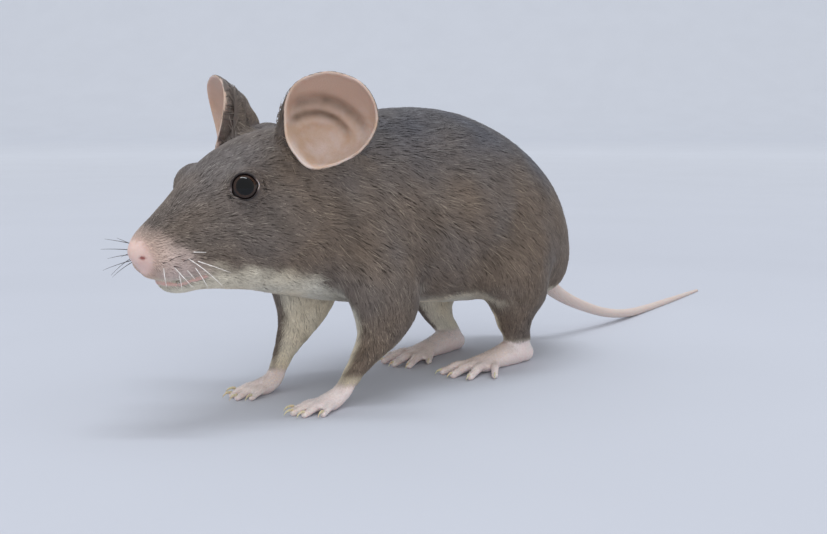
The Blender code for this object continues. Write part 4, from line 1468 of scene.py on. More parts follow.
def lie_of_coat(points, normals, areas):
    """The unit vector along which the hair at each point lies."""
    x, z = points[:, 0], points[:, 2]
    slices = np.array(TRUNK)[::-1]
    top, bottom = (np.interp(x, slices[:, 0], slices[:, k]) for k in (1, 2))
    height = np.clip((z - bottom) / (top - bottom), 0, 1)
    down = np.radians(np.interp(x, LIE_X, LIE_DOWN) * (1.55 - 1.1 * height))
    down = down * (1 - areas["leg"]) + np.radians(80) * areas["leg"]
    way = np.column_stack([-np.cos(down), np.zeros(len(x)), -np.sin(down)])
    for side in (1, -1):
        on_back = (areas["ear_back"] > 0.5) & (points[:, 1] * side > 0)
        way[on_back] = tuple(ear_axes(side)[2])
    turn = 0.2 * drift(points, 6.0, 21) + 0.24 * drift(points, 1.6, 22)
    way = way + np.cross(normals, way) * np.tan(turn)[:, None]
    way -= normals * (way * normals).sum(axis=1)[:, None]
    return way / np.maximum(np.linalg.norm(way, axis=1), 1e-6)[:, None]


cheek = (np.array([[36.0, 2.0, 26.0]]), np.array([[0.3, 0.6, 0.74]]))
lie = lie_of_coat(*cheek, {"leg": np.zeros(1), "ear_back": np.zeros(1)})[0]
print("hair beside the nose lies along", [round(float(c), 2) for c in lie])

# %% [markdown]
# ## Sowing the coat
# The coat is a mesh: each tuft is a closed sliver of seven points that stands for the few hairs that cling
# together. Particle hair would be quicker, but it is lost when the model is exported. Roots are sown over
# the skin at random, closer together on the face, where the tufts are small. Every tuft starts just under
# the skin, rises to the outside of the coat and ends as a thin tip that lies along it.

# %% Sow the roots
TUFTS = 146000
GUARD_SHARE = 0.05  # of the tufts are long light guard hairs, from the neck to the rump
Sown = namedtuple("Sown", "root normal areas")


def skin_triangles():
    skin.data.calc_loop_triangles()
    flat = np.empty(len(skin.data.loop_triangles) * 3, np.int32)
    skin.data.loop_triangles.foreach_get("vertices", flat)
    return flat.reshape(-1, 3)


def crowding(points, areas):
    """How many tufts stand on an area, compared with the back."""
    x = points[:, 0]
    crowd = np.interp(x, (-40, 8, 18, 30, 36, 41), (1.0, 1.0, 1.35, 2.1, 3.4, 4.0))
    crowd = crowd * (1 + 0.8 * areas["leg"]) * (1 + 0.6 * areas["ear_back"])
    crowd = crowd * np.where(points[:, 2] < 6, 1.6, 1.0)
    return crowd * np.maximum(areas["fur"], 0) ** 0.7


def sow(count, seed):
    """Roots spread over the skin by its area and the crowding, each at a random place in a triangle."""
    triangles = skin_triangles()
    corners = skin_points[triangles]
    one_edge, other_edge = corners[:, 1] - corners[:, 0], corners[:, 2] - corners[:, 0]
    size = np.linalg.norm(np.cross(one_edge, other_edge), axis=1) / 2
    middle_areas = {name: values[triangles].mean(axis=1) for name, values in areas.items()}
    weight = size * crowding(corners.mean(axis=1), middle_areas)
    rng = np.random.default_rng(seed)
    steps = (np.arange(count) + rng.random(count)) / count * weight.sum()
    chosen = triangles[np.minimum(np.searchsorted(np.cumsum(weight), steps), len(triangles) - 1)]
    a, b = np.sqrt(rng.random(count)), rng.random(count)
    share = np.column_stack([1 - a, a * (1 - b), a * b])[:, :, None]
    root = (under_coat[chosen] * share).sum(axis=1)
    normal = (skin_normals[chosen] * share).sum(axis=1)
    normal /= np.linalg.norm(normal, axis=1)[:, None]
    sown_areas = {name: (values[chosen] * share[:, :, 0]).sum(axis=1) for name, values in areas.items()}
    return Sown(root, normal, sown_areas)


sown = sow(TUFTS, 5)
sown.areas["tone"] = np.random.default_rng(8).random(TUFTS)
on_back = within(sown.root[:, 0], 14, 24) * (sown.root[:, 2] > 12)
sown.areas["guard"] = (sown.areas["tone"] < GUARD_SHARE) * on_back
print("tufts sown:", len(sown.root))

# %% [markdown]
# ## Length and width of the hair
# Both follow the place: hair is long on the rump and belly, short on the face and legs, and shorter still
# round the eyes and on the feet. The backs of the ears have a fine down of their own.

# %% Lengths and widths of the tufts
LENGTH_X = (-40, -25, 0, 10, 18, 25, 31, 35, 38, 41)
LENGTHS = (3.6, 3.5, 3.4, 3.1, 2.6, 2.1, 1.6, 1.1, 0.75, 0.5)
DOWN_LENGTH = 0.75  # of the down on the backs of the ears
DOWN_WIDTH = 0.07


def tuft_length(points, areas):
    x, z = points[:, 0], points[:, 2]
    length = np.interp(x, LENGTH_X, LENGTHS)
    length = length * np.interp(z, (3, 6, 11, 14), (0.2, 0.42, 0.7, 1.0))
    length = length * (1 - areas["leg"] * 0.25) * (1 + 0.45 * areas["guard"])
    length = length * (1 - 0.4 * areas["foot"]) * (1 - 0.45 * areas["eyelid"])
    return length * (1 - areas["ear_back"]) + DOWN_LENGTH * areas["ear_back"]


def tuft_width(points, areas):
    width = np.interp(points[:, 0], (-40, 10, 20, 32, 38), (0.16, 0.155, 0.14, 0.115, 0.085))
    width = width * (1 - areas["leg"] * 0.25) * (1 - 0.35 * areas["guard"])
    return width * (1 - areas["ear_back"]) + DOWN_WIDTH * areas["ear_back"]


print("mean length of the tufts, mm:", round(float(tuft_length(sown.root, sown.areas).mean()), 2))

# %% [markdown]
# ## Shaping the tufts
# The middle and the tip of each tuft are brought back to the outside of the coat, so that a long tuft
# follows the curve of the back and doesn't stick out like a thorn. Loose locks stand off a little more than
# others, which gives the coat its soft edge.

# %% Bend every tuft over the body
FIRST_PART = 0.45  # of a tuft's length lies below its bend
STRAY = 0.13  # radians, how far a tuft commonly strays from the lie of the coat
LEAST_HEIGHT = 0.05  # millimetres that every tuft stays above the floor


def on_surface(tree, points):
    """The nearest points of a surface, and its normals there."""
    found, normals = np.empty_like(points), np.empty_like(points)
    for i, p in enumerate(points):
        at, normal, _, _ = tree.find_nearest(p)
        found[i] = at
        normals[i] = normal
    return found, normals


def tuft_points(sown, seed):
    """Seven points for each tuft, and the normal of the coat at each."""
    rng = np.random.default_rng(seed)
    count = len(sown.root)
    way = lie_of_coat(sown.root, sown.normal, sown.areas)
    length = tuft_length(sown.root, sown.areas) * rng.uniform(0.6, 1.25, count)
    width = tuft_width(sown.root, sown.areas) * rng.uniform(0.7, 1.3, count)
    own_turn = rng.normal(0, STRAY, count)[:, None]
    way = way + np.cross(sown.normal, way) * own_turn
    way /= np.linalg.norm(way, axis=1)[:, None]
    outside = BVHTree.FromPolygons(skin_points.tolist(), skin_triangles().tolist())
    middle, middle_normal = on_surface(outside, sown.root + way * length[:, None] * FIRST_PART)
    onward = middle - sown.root
    onward /= np.maximum(np.linalg.norm(onward, axis=1), 1e-6)[:, None]
    tip, tip_normal = on_surface(outside, middle + onward * length[:, None] * (1 - FIRST_PART))
    loose = np.clip(0.5 + 0.5 * drift(sown.root, 2.2, 31), 0, 1) + 0.35 * rng.random(count)
    thick = np.maximum(sown.areas["fur"], 0.2) * np.interp(sown.root[:, 0], (12, 30, 40), (1, 0.5, 0.25))
    thick *= 1 - 0.85 * sown.areas["ear_back"]
    tip = tip + tip_normal * (0.02 + 0.16 * loose * thick + 0.12 * sown.areas["guard"])[:, None]
    middle = middle + middle_normal * (0.05 * loose * thick)[:, None]
    aside = np.cross(sown.normal, way)
    root_ring = (sown.root, sown.normal, 1.0, 0.06)
    bend_ring = (middle, middle_normal, 0.85, 0.0)
    rings = []
    for centre, up, size, sink in (root_ring, bend_ring):
        half = (width * size / 2)[:, None]
        low = centre - up * sink
        rings += [low + aside * half, low - aside * half, low + up * half * 0.9]
    points = np.stack([*rings, tip], axis=1)
    normals = np.stack([sown.normal] * 3 + [middle_normal] * 3 + [tip_normal], axis=1)
    return points, normals


tufts, tuft_normals = tuft_points(sown, 6)
tufts[:, :, 2] = np.maximum(tufts[:, :, 2], LEAST_HEIGHT)
print("tuft points:", tufts.shape)

# %% [markdown]
# ## Bare places
# Some tufts would still reach into the cups of the ears or hang over the eyes and lips. They are found by
# where their bend and their tip lie, and left out. Combing them aside would bend them out of the lie of
# their neighbours.

# %% Leave out the tufts that cover the ears, eyes and lips
BEND, TIP = 3, 6  # two of a tuft's seven points
EAR_ROOM = 0.7  # millimetres in front of the bare face of an ear that stay free


def clear_of_hollows(tufts):
    """Which tufts stay out of the hollows of the ears and don't cover the eyes or the lips."""
    clear = np.ones(len(tufts), bool)
    for side in (1, -1):
        tree, per_sector = ear_faces(side)
        for i in near_ears(tufts[:, TIP]):
            for corner in (BEND, TIP):
                hit = tree.find_nearest(tufts[i, corner], EAR_ROOM)
                if hit[0] is not None:
                    step = hit[2] % per_sector
                    clear[i] &= not (step == 0 or 2 <= step < EAR_RINGS + 3)
    for corner in (BEND, TIP):
        _, away, across = from_left_eye(tufts[:, corner])
        clear &= ~((away < NEAR_EYE) & (across < LID_OPENING + 0.2))
        clear &= nearest_lip(tufts[:, corner]) > 0.3
    return clear


kept = np.nonzero(clear_of_hollows(tufts))[0]
tufts, tuft_normals = tufts[kept], tuft_normals[kept]
kept_areas = {key: values[kept] for key, values in sown.areas.items()}
sown = Sown(sown.root[kept], sown.normal[kept], kept_areas)
print("tufts kept:", len(kept))

# %% [markdown]
# ## The coat's unwrap
# When the model is baked for other programs, each tuft needs its own small patch of an image. The patch lies
# where its root lies on an unwrap of the skin: along the body, and round it from the belly to the back. Legs
# and the backs of the ears have their own charts in the upper part of each image.

# %% Unwrap the coat


def chart_places(root, areas):
    """Where each root lies on the unwrap of its piece of skin."""
    x, y, z = root[:, 0], np.abs(root[:, 1]), root[:, 2]
    round_body = np.arctan2(z - 22.0, y) / np.pi + 0.5
    along = (x - x.min()) / (x.max() - x.min())
    u, v = round_body, along * 0.64
    leg = (areas["leg"] > 0.5) | (areas["foot"] > 0.5)
    round_leg = np.arctan2(y - 7.5, np.where(x > -5, x - 9.5, x + 19.5)) / (2 * np.pi) + 0.5
    u, v = np.where(leg, round_leg * 0.48, u), np.where(leg, 0.68 + z / 16 * 0.28, v)
    ear = areas["ear_back"] > 0.5
    from_ear = np.column_stack([x, y, z]) - np.array(EAR_CENTRE)
    _, across, upward = (np.array(axis) for axis in ear_axes(1))
    u = np.where(ear, 0.75 + from_ear @ across / 28, u)
    v = np.where(ear, 0.83 + from_ear @ upward / 36, v)
    return np.column_stack([0.01 + 0.98 * np.clip(u, 0, 1), 0.01 + 0.98 * np.clip(v, 0, 1)])


print("charts reach", chart_places(sown.root, sown.areas).max(axis=0).round(2).tolist())

# %% [markdown]
# ## The coat's finish
# A grey mouse's hair is dark slate at the root and brownish grey at the tip, and a few hairs are nearly
# black. The colour runs along each tuft and differs from one to the next, and whole locks are lighter or
# darker. It is rough, with a faint sheen where the light grazes the back.

# %% Colours of the coat
HAIR_ROOT = tint(86, 76, 69)
HAIR_MIDDLE = tint(112, 100, 91)
HAIR_TIP = tint(138, 124, 112)
HAIR_DARK = tint(74, 66, 61)
HAIR_LIGHT = tint(192, 178, 160)
PALE_ROOT = tint(205, 194, 178)
PALE_TIP = tint(238, 229, 208)
PAD_HAIR = tint(214, 192, 182)
NOSE_HAIR = tint(216, 192, 183)
FOOT_HAIR = tint(236, 222, 217)
DORSUM_SKY_TINT = (0.54, 0.66, 0.9)  # multiplies the upward-facing fur of the back and head: a darker dorsum and a painted bluish sky reflection
WARM_PATCH = (1.05, 1.0, 0.93)
COOL_PATCH = (0.95, 0.99, 1.05)
print("tips of the hair, as light:", [round(c, 3) for c in HAIR_TIP])

# %% Material of the coat


def lock_strength(tree, tone):
    """How light each tuft is: by its lock and its own tone, darker in a crease as painted shade, and broken
    up finely.
    """
    strength = spread(tree, attribute(tree, "lock"), 0.0, 1.0, 0.88, 1.1)
    strength = number(tree, "ADD", strength, spread(tree, tone, 0.0, 0.75, -0.06, 0.06))
    crease_shade = spread(tree, attribute(tree, "crease_shade"), 0.0, 1.0, 0.0, 0.2)
    strength = number(tree, "SUBTRACT", strength, crease_shade)
    return number(tree, "MULTIPLY", strength, spread(tree, noise(tree, 0.3), 0.3, 0.7, 0.94, 1.06))


def coat_material():
    material, tree, shader = new_material("coat")
    along = attribute(tree, "along_hair")
    tone = attribute(tree, "tone")
    grey = mixed(tree, spread(tree, along, 0.0, 0.45), HAIR_ROOT, HAIR_MIDDLE)
    grey = mixed(tree, spread(tree, along, 0.4, 1.0), grey, HAIR_TIP)
    grey = mixed(tree, spread(tree, tone, 0.9, 1.0, 0.0, 0.28), grey, HAIR_DARK)
    light = number(tree, "MULTIPLY", spread(tree, tone, 0.08, 0.03), spread(tree, along, 0.1, 0.7))
    grey = mixed(tree, number(tree, "MULTIPLY", light, 0.75), grey, HAIR_LIGHT)
    # Painted sky reflection: fur that faces up turns darker and bluish, partly also the darker dorsum.
    grey = mixed(tree, attribute(tree, "dorsum_and_sky_sheen"), grey, mixed(tree, 1.0, grey, DORSUM_SKY_TINT, "MULTIPLY"))
    pale = mixed(tree, spread(tree, along, 0.0, 0.7), PALE_ROOT, PALE_TIP)
    pale = mixed(tree, attribute(tree, "pad"), pale, PAD_HAIR)
    pale = mixed(tree, attribute(tree, "nose"), pale, NOSE_HAIR)
    pale = mixed(tree, attribute(tree, "foot"), pale, FOOT_HAIR)
    colour = mixed(tree, attribute(tree, "pale"), grey, pale)
    patches = mixed(tree, spread(tree, noise(tree, 9.0, 1.0), 0.35, 0.65), WARM_PATCH, COOL_PATCH)
    colour = mixed(tree, 1.0, colour, patches, "MULTIPLY")
    colour = mixed(tree, 1.0, colour, lock_strength(tree, tone), "MULTIPLY")
    feed(tree, shader.inputs["Base Color"], colour)
    shader.inputs["Roughness"].default_value = 0.55
    shader.inputs["Specular IOR Level"].default_value = 0.35
    shader.inputs["Sheen Weight"].default_value = 0.05
    shader.inputs["Sheen Roughness"].default_value = 0.4
    return material


material_of_coat = coat_material()
print("coat material:", len(material_of_coat.node_tree.nodes), "nodes")

# %% [markdown]
# ## Pieces of the coat
# All the tufts together would be too much for one object in many programs, so the coat is cut into four
# pieces on each side, from the nose to the rump. Points and faces are written straight into the meshes,
# which is far quicker than adding faces one at a time.

# %% Build the pieces of the coat
TUFT_FACES = ((0, 1, 2), (3, 4, 1, 0), (4, 5, 2, 1), (5, 3, 0, 2), (6, 4, 3), (6, 5, 4), (6, 3, 5))
POINTS_PER_TUFT = 7
PIECES_PER_SIDE = 4
PATCH = 0.003  # how wide a tuft's patch is, as a share of the image
PATCH_SPOTS = ((0, 0), (1, 0), (0.5, 0.2), (0, 0.5), (1, 0.5), (0.5, 0.6), (0.5, 1))
ALONG_HAIR = (0, 0, 0, FIRST_PART, FIRST_PART, FIRST_PART, 1.0)
COAT_AREAS = ("pale", "ear_back", "tone", "dorsum_and_sky_sheen", "crease_shade", "nose", "pad", "foot")


def tuft_mesh(name, points):
    """One mesh of all the tufts whose points are given, and the point that each corner of a face has."""
    corners = np.concatenate([np.array(face) for face in TUFT_FACES])
    offsets = np.arange(len(points))[:, None] * POINTS_PER_TUFT
    loops = (offsets + corners[None]).ravel()
    sizes = np.tile([len(face) for face in TUFT_FACES], len(points))
    starts = np.concatenate([[0], np.cumsum(sizes)[:-1]])
    mesh = bpy.data.meshes.new(name)
    mesh.vertices.add(len(points) * POINTS_PER_TUFT)
    mesh.vertices.foreach_set("co", place(points.reshape(-1, 3)).astype(np.float32).ravel())
    mesh.loops.add(len(loops))
    mesh.loops.foreach_set("vertex_index", loops.astype(np.int32))
    mesh.polygons.add(len(sizes))
    mesh.polygons.foreach_set("loop_start", starts.astype(np.int32))
    mesh.update(calc_edges=True)
    return mesh, loops


def coat_piece(name, chosen, material):
    """A piece of the coat, with its unwrap, the values its material reads and the normals of the coat."""
    mesh, loops = tuft_mesh(name, tufts[chosen])
    piece = bpy.data.objects.new(name, mesh)
    bpy.context.scene.collection.objects.link(piece)
    chosen_areas = {key: values[chosen] for key, values in sown.areas.items()}
    spots = chart_places(sown.root[chosen], chosen_areas)
    spots = (spots[:, None] + np.array(PATCH_SPOTS)[None] * PATCH).reshape(-1, 2)
    layer = mesh.uv_layers.new(name="OFBake")
    layer.data.foreach_set("uv", spots[loops].astype(np.float32).ravel())
    values = {key: chosen_areas[key] for key in COAT_AREAS}
    values["lock"] = np.clip(0.5 + 0.5 * drift(sown.root[chosen], 3.0, 41), 0, 1)
    for key, value in values.items():
        add_values(mesh, key, np.repeat(value, POINTS_PER_TUFT))
    add_values(mesh, "along_hair", np.tile(ALONG_HAIR, len(chosen)))
    mesh.materials.append(material)
    mesh.shade_smooth()
    soft = tuft_normals[chosen].reshape(-1, 3) + 0.5 * mesh_normals(mesh)
    soft /= np.linalg.norm(soft, axis=1)[:, None]
    mesh.normals_split_custom_set_from_vertices(soft.tolist())
    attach(piece, "root")
    return piece


def build_coat(material):
    """The coat of each side, in pieces from the nose to the rump."""
    pieces = []
    for side, word in ((1, "left"), (-1, "right")):
        ours = np.nonzero(sown.root[:, 1] * side >= 0)[0]
        ours = ours[np.argsort(-sown.root[ours, 0], kind="stable")]
        for i, chosen in enumerate(np.array_split(ours, PIECES_PER_SIDE)):
            pieces.append(coat_piece(f"coat_{word}_{i + 1}", chosen, material))
    return pieces


coat = build_coat(material_of_coat)
tuft_counts = {piece.name: len(piece.data.vertices) // POINTS_PER_TUFT for piece in coat}
print("coat pieces and tufts:", tuft_counts)

# %% [markdown]
# ## Eyes
# The eye is a dark, wet bead. Its pupil fills most of what shows, a thin brown iris runs round it, and the
# cornea bulges a little more than the ball, so that the light of a long narrow lamp lies on it as a bright
# arc. The ball is turned on a lathe about the way that it looks. A plain sphere would miss the bulge that
# makes the eye look alive.

# %% Turn the eyeballs
PUPIL_RADIUS = 1.06
IRIS_RADIUS = 1.3
CORNEA_BULGE = 0.12
CORNEA_EDGE = 0.85  # radians from the way it looks, where the bulge ends
EYE_SIDES = 72
PUPIL_BLACK, IRIS_RIM = tint(3, 3, 4), tint(26, 20, 20)
IRIS_DARK, IRIS_BROWN = tint(36, 24, 19), tint(66, 47, 37)


def eye_material():
    material, tree, shader = new_material("eye")
    across = attribute(tree, "across")
    fibres = noise(tree, 0.09, 3.0)
    iris = mixed(tree, spread(tree, fibres, 0.35, 0.65), IRIS_DARK, IRIS_BROWN)
    beyond_pupil = spread(tree, across, PUPIL_RADIUS - 0.04, PUPIL_RADIUS + 0.05)
    beyond_iris = spread(tree, across, IRIS_RADIUS - 0.05, IRIS_RADIUS + 0.06)
    colour = mixed(tree, beyond_pupil, PUPIL_BLACK, iris)
    colour = mixed(tree, beyond_iris, colour, IRIS_RIM)
    feed(tree, shader.inputs["Base Color"], colour)
    shader.inputs["Roughness"].default_value = 0.06
    shader.inputs["Specular IOR Level"].default_value = 0.32
    bumped(tree, shader, noise(tree, 0.8), 0.004)
    return material


def eye_object(side, material):
    """A ball turned about the way the eye looks; its points know how far they are from that axis."""
    angles = np.concatenate([np.linspace(math.pi - 0.03, 0.95, 26), np.linspace(0.9, 0.012, 26)])
    profile = []
    for a in angles:
        swell = CORNEA_BULGE * max(0.0, 1 - (a / CORNEA_EDGE) ** 2) ** 1.5
        profile.append(((EYE_RADIUS + swell) * math.cos(a), (EYE_RADIUS + swell) * math.sin(a)))
    name = "eye_left" if side > 0 else "eye_right"
    made = turned_about_eye(name + "_ball", profile, side, EYE_SIDES)
    add_values(made.data, "across", np.repeat([radius for _, radius in profile], EYE_SIDES))
    made.data.vertices.foreach_set("co", place(mesh_points(made.data)).astype(np.float32).ravel())
    made.data.update()
    made.data.materials.append(material)
    made.data.shade_smooth()
    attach(made, "root")
    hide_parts(name)
    return made


beads = eye_material()
eyes = [eye_object(side, beads) for side in (1, -1)]
print("eyes:", [eye.name for eye in eyes])

# %% [markdown]
# ## Claws
# Each toe ends in a thin, slightly hooked claw of pale horn with yellowish streaks. They are tapered tubes
# bent by a table of stations, and all eighteen are one piece.

# %% Bend the claws
CLAW_LENGTH = 1.35
CLAW_RADIUS = 0.19
CLAW_HEIGHT = 0.84  # of its root above the floor
ClawStation = namedtuple("ClawStation", "share drop thick")  # how far along, how much lower, how thick
CLAW_SHAPE = (
    ClawStation(0, 0.05, 1.0),
    ClawStation(0.3, 0, 0.95),
    ClawStation(0.6, 0.06, 0.8),
    ClawStation(0.85, 0.26, 0.5),
    ClawStation(1.0, 0.52, 0.18),
)
HORN_PALE, HORN_YELLOW = tint(226, 218, 188), tint(198, 186, 146)


def claw_object(digit, side):
    way = Vector((digit.tip_x - digit.root_x, (digit.tip_y - digit.root_y) * side, 0)).normalized()
    root = Vector((digit.tip_x, digit.tip_y * side, CLAW_HEIGHT)) + way * 0.02
    stations = []
    for share, drop, thick in CLAW_SHAPE:
        at = root + way * CLAW_LENGTH * share - Vector((0, 0, drop))
        stations.append(Station(*at, CLAW_RADIUS * thick, CLAW_RADIUS * thick * 0.7))
    return tube_object("claw", stations, sides=12, steps=4)


def horn_material():
    material, tree, shader = new_material("horn")
    streaks = noise(tree, 0.12, 3.0, 0.5, (0.3, 1, 1))
    colour = mixed(tree, spread(tree, streaks, 0.3, 0.7), HORN_PALE, HORN_YELLOW)
    feed(tree, shader.inputs["Base Color"], colour)
    shader.inputs["Roughness"].default_value = 0.3
    shader.inputs["Subsurface Weight"].default_value = 0.2
    shader.inputs["Subsurface Scale"].default_value = 0.5 * MM
    bumped(tree, shader, streaks, 0.01)
    return material


def settle_piece(made, material):
    """Moves a piece from the animal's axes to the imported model's, and gives it its finish."""
    made.data.vertices.foreach_set("co", place(mesh_points(made.data)).astype(np.float32).ravel())
    made.data.update()
    made.data.materials.append(material)
    made.data.shade_smooth()
    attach(made, "root")
    return made


toes = [(digit, side) for side in (1, -1) for digit in (*FORE_DIGITS, *hind_digits(side))]
claws = joined("claws", [claw_object(digit, side) for digit, side in toes])
settle_piece(claws, horn_material())
print("claws:", len(toes))

# %% [markdown]
# ## Whiskers
# Whiskers grow in rows from the pads beside the nose, forwards, sideways and down, and bend back at their
# ends. The near ones are coloured white, a painted highlight for the light that they catch. A table says
# where each one leaves the pad, and how far its tip lies from there as the camera sees it: aside to the
# right, down, and out towards the camera.

# %% Tables of the whiskers
Whisker = namedtuple("Whisker", "root aside down out")
NEAR_WHISKERS = (
    Whisker((38.7, 3.0, 20.2), 0.35, 2.1, 0.3),
    Whisker((37.8, 3.8, 20.2), 2.2, 2.3, 0.4),
    Whisker((37.2, 3.7, 19.4), 0.4, 1.75, 0.3),
    Whisker((36.3, 4.0, 19.8), 0.9, 0.95, 0.3),
    Whisker((35.2, 4.0, 20.0), 1.5, 2.3, 0.4),
    Whisker((36.1, 4.2, 21.1), 4.0, 3.2, 0.4),
    Whisker((34.8, 4.1, 20.7), 3.8, 1.25, 0.4),
    Whisker((35.3, 4.0, 21.8), 1.5, 0.0, 0.3),
)
SHORT_BRISTLES = (
    Whisker((38.8, 3.0, 20.8), 0.6, -0.1, 0.05),
    Whisker((38.2, 3.5, 21.1), 0.9, -0.35, 0.05),
    Whisker((37.3, 3.8, 21.4), 0.9, -0.3, 0.05),
    Whisker((37.9, 3.8, 20.4), 0.9, 0.2, 0.05),
    Whisker((36.8, 4.1, 20.9), 0.8, -0.3, 0.05),
    Whisker((35.9, 4.2, 21.0), 0.7, -0.2, 0.05),
)
FAR_WHISKERS = (
    Whisker((39.2, -2.4, 22.6), -3.4, -0.6, 0.0),
    Whisker((39.0, -2.6, 21.8), -3.8, -0.1, 0.0),
    Whisker((38.7, -2.9, 21.2), -3.0, 0.5, 0.0),
    Whisker((38.8, -2.8, 20.6), -3.5, 1.2, 0.0),
    Whisker((38.2, -3.2, 20.4), -2.6, 1.9, 0.0),
    Whisker((38.4, -3.0, 22.2), -2.3, -1.0, 0.0),
    Whisker((37.6, -3.4, 20.9), -3.1, 2.4, 0.3),
    Whisker((37.0, -3.6, 21.4), -2.4, 0.8, 0.3),
)
print("longest near whisker falls, mm:", max(whisker.down for whisker in NEAR_WHISKERS))

# %% [markdown]
# ## Growing the whiskers
# Each whisker is a tapered tube, only a seventh of a millimetre thick at its root, that bends over an elbow
# near the skin. Curve objects could carry them, but meshes export as they are.

# %% Grow the whiskers
WHISKER_RADIUS = 0.075
TAPER = 0.75  # the share of its thickness that a whisker loses towards its tip


def whiskers_object(name, whiskers, thickness):
    """Tapered tubes that leave the skin straight and bend down and back towards their tips."""
    towards = Vector((-CAMERA_HEADING[0], -CAMERA_HEADING[1], 0))
    aside = Vector((CAMERA_HEADING[1], -CAMERA_HEADING[0], 0))
    outside = BVHTree.FromPolygons(skin_points.tolist(), skin_triangles().tolist())
    made = []
    for whisker in whiskers:
        root, normal, _, _ = outside.find_nearest(whisker.root)
        tip = root + aside * whisker.aside + towards * whisker.out + Vector((0, 0, -whisker.down))
        elbow = root.lerp(tip, 0.4) + normal * (tip - root).length * 0.14
        stations = []
        for share in np.linspace(0, 1, 6):
            at = root.lerp(elbow, share).lerp(elbow.lerp(tip, share), share)
            thick = WHISKER_RADIUS * thickness * (1 - TAPER * share)
            stations.append(Station(*at, thick, thick))
        made.append(tube_object("whisker", stations, sides=6, steps=3))
    return joined(name, made)


def whisker_material(name, light, dark):
    material, tree, shader = new_material(name)
    colour = mixed(tree, spread(tree, noise(tree, 0.5), 0.4, 0.6), light, dark)
    feed(tree, shader.inputs["Base Color"], colour)
    shader.inputs["Roughness"].default_value = 0.35
    return material


# The white of the near whiskers is a painted highlight.
white_highlight_bristle = whisker_material("white_highlight_bristle", tint(244, 240, 236), tint(216, 208, 202))
dark_bristle = whisker_material("dark_bristle", tint(70, 62, 60), tint(40, 35, 35))
settle_piece(whiskers_object("whiskers_left", NEAR_WHISKERS, 1.0), white_highlight_bristle)
settle_piece(whiskers_object("bristles_left", SHORT_BRISTLES, 0.8), dark_bristle)
settle_piece(whiskers_object("whiskers_right", FAR_WHISKERS, 0.75), dark_bristle)
print("whiskers:", len(NEAR_WHISKERS), "and", len(FAR_WHISKERS), "with", len(SHORT_BRISTLES), "bristles")

# %% [markdown]
# ## Floor
# The mouse stands on a plain pale sheet that curves up behind it, so no horizon shows. The sheet grows paler
# with the distance from the mouse. A flat plane would end in a line behind the animal. Both floor and lamps
# are in metres.

# %% Lay the floor
FLOOR_COLOUR = tint(196, 199, 208)
FAR_COLOUR = tint(240, 244, 252)
FLOOR_REACH = 1.5  # how far the sheet comes towards the camera
CURVE_FROM = 1.2
CURVE_RADIUS = 0.5
BACKDROP_HEIGHT = 1.2
SHEET_HALF_WIDTH = 2.5


def floor_material():
    material, tree, shader = new_material("floor")
    place_node = tree.nodes.new("ShaderNodeTexCoord")
    away = tree.nodes.new("ShaderNodeVectorMath")
    away.operation = "LENGTH"
    tree.links.new(place_node.outputs["Object"], away.inputs[0])
    colour = mixed(tree, spread(tree, away.outputs["Value"], 0.12, 0.8), FLOOR_COLOUR, FAR_COLOUR)
    grain = spread(tree, noise(tree, 40.0), 0.3, 0.7, 0.99, 1.01)
    feed(tree, shader.inputs["Base Color"], mixed(tree, 1.0, colour, grain, "MULTIPLY"))
    shader.inputs["Roughness"].default_value = 0.9
    shader.inputs["Specular IOR Level"].default_value = 0.1
    return material


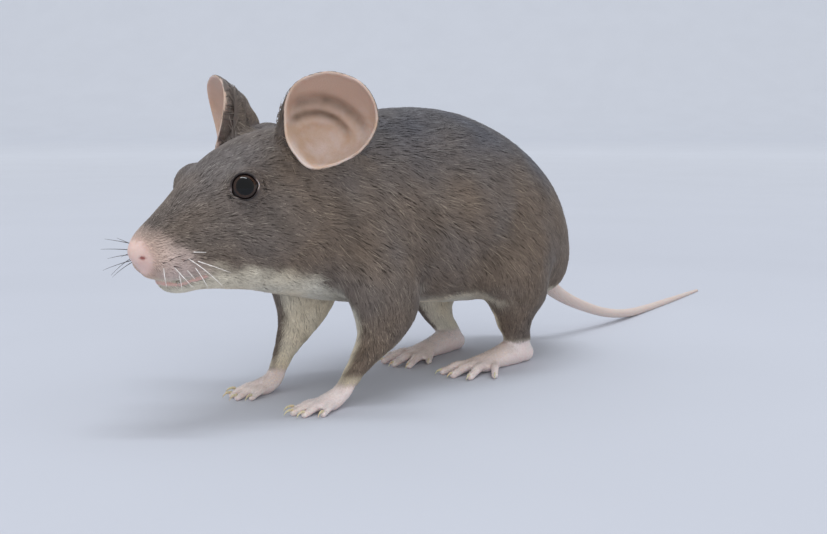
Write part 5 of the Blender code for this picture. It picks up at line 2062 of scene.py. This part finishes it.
def floor_sheet():
    """A sheet that lies under the mouse and rises behind it in a wide curve."""
    away = Vector((*CAMERA_HEADING, 0)).normalized()
    aside = Vector((-away.y, away.x, 0))
    profile = [(-FLOOR_REACH, 0.0), (CURVE_FROM, 0.0)]
    for turn in np.linspace(0.1, math.pi / 2, 12):
        profile.append((CURVE_FROM + CURVE_RADIUS * math.sin(turn), CURVE_RADIUS * (1 - math.cos(turn))))
    profile.append((CURVE_FROM + CURVE_RADIUS, BACKDROP_HEIGHT))
    points = []
    for along, up in profile:
        for across in (-SHEET_HALF_WIDTH, SHEET_HALF_WIDTH):
            points.append(away * along + aside * across + Vector((0, 0, up)))
    faces = [(2 * i, 2 * i + 1, 2 * i + 3, 2 * i + 2) for i in range(len(profile) - 1)]
    sheet = mesh_object("floor", points, faces)
    sheet.data.materials.append(floor_material())
    sheet.data.shade_smooth()
    return sheet


floor = floor_sheet()
print("floor, in metres:", [round(d, 2) for d in floor.dimensions])

# %% [markdown]
# ## Light
# A broad lamp above and two at the camera's left light the coat and give soft shadows, and the bright
# surroundings fill them. The bright arc on the eye comes from a narrow strip beside the lamp above. Only the
# strip shows in reflections, because the broad lamps would stand in the pupil as grey squares.

# %% Hang the lamps
AIM_AT = (0.02, 0, 0.02)  # the middle of the trunk
COOL, NEUTRAL, WARM = (0.9, 0.95, 1.0), (1.0, 1.0, 0.98), (1.0, 0.98, 0.94)


def lamp(name, at, aim, size, power, colour, glossy=False):
    """A rectangular lamp: its place, what it faces, its size, its power in watts and its colour."""
    light = bpy.data.objects.new(name, bpy.data.lights.new(name, "AREA"))
    bpy.context.scene.collection.objects.link(light)
    light.data.shape = "RECTANGLE"
    light.data.size, light.data.size_y = size
    light.data.energy = power
    light.data.color = colour
    light.visible_glossy = glossy
    light.location = at
    light.rotation_mode = "QUATERNION"
    light.rotation_quaternion = (Vector(aim) - Vector(at)).to_track_quat("-Z", "Y")


def surroundings(colour, strength):
    world = bpy.data.worlds.new("surroundings")
    world.use_nodes = True
    back = world.node_tree.nodes["Background"]
    back.inputs["Color"].default_value = (*colour, 1.0)
    back.inputs["Strength"].default_value = strength
    bpy.context.scene.world = world


lamp("lamp_above", (0.03, 0.03, 0.6), AIM_AT, (0.8, 0.5), 0.8, COOL)
lamp("lamp_strip", (0.056, 0.034, 0.6), AIM_AT, (0.36, 0.06), 1.0, COOL, glossy=True)
lamp("lamp_side", (0.36, 0.33, 0.5), AIM_AT, (0.5, 0.3), 0.42, NEUTRAL)
lamp("lamp_front", (0.5, 0.5, 0.12), (0.0, 0, 0.02), (0.4, 0.3), 0.85, WARM)
surroundings(tint(244, 246, 250), 0.71)
bpy.context.scene.view_settings.view_transform = "Standard"
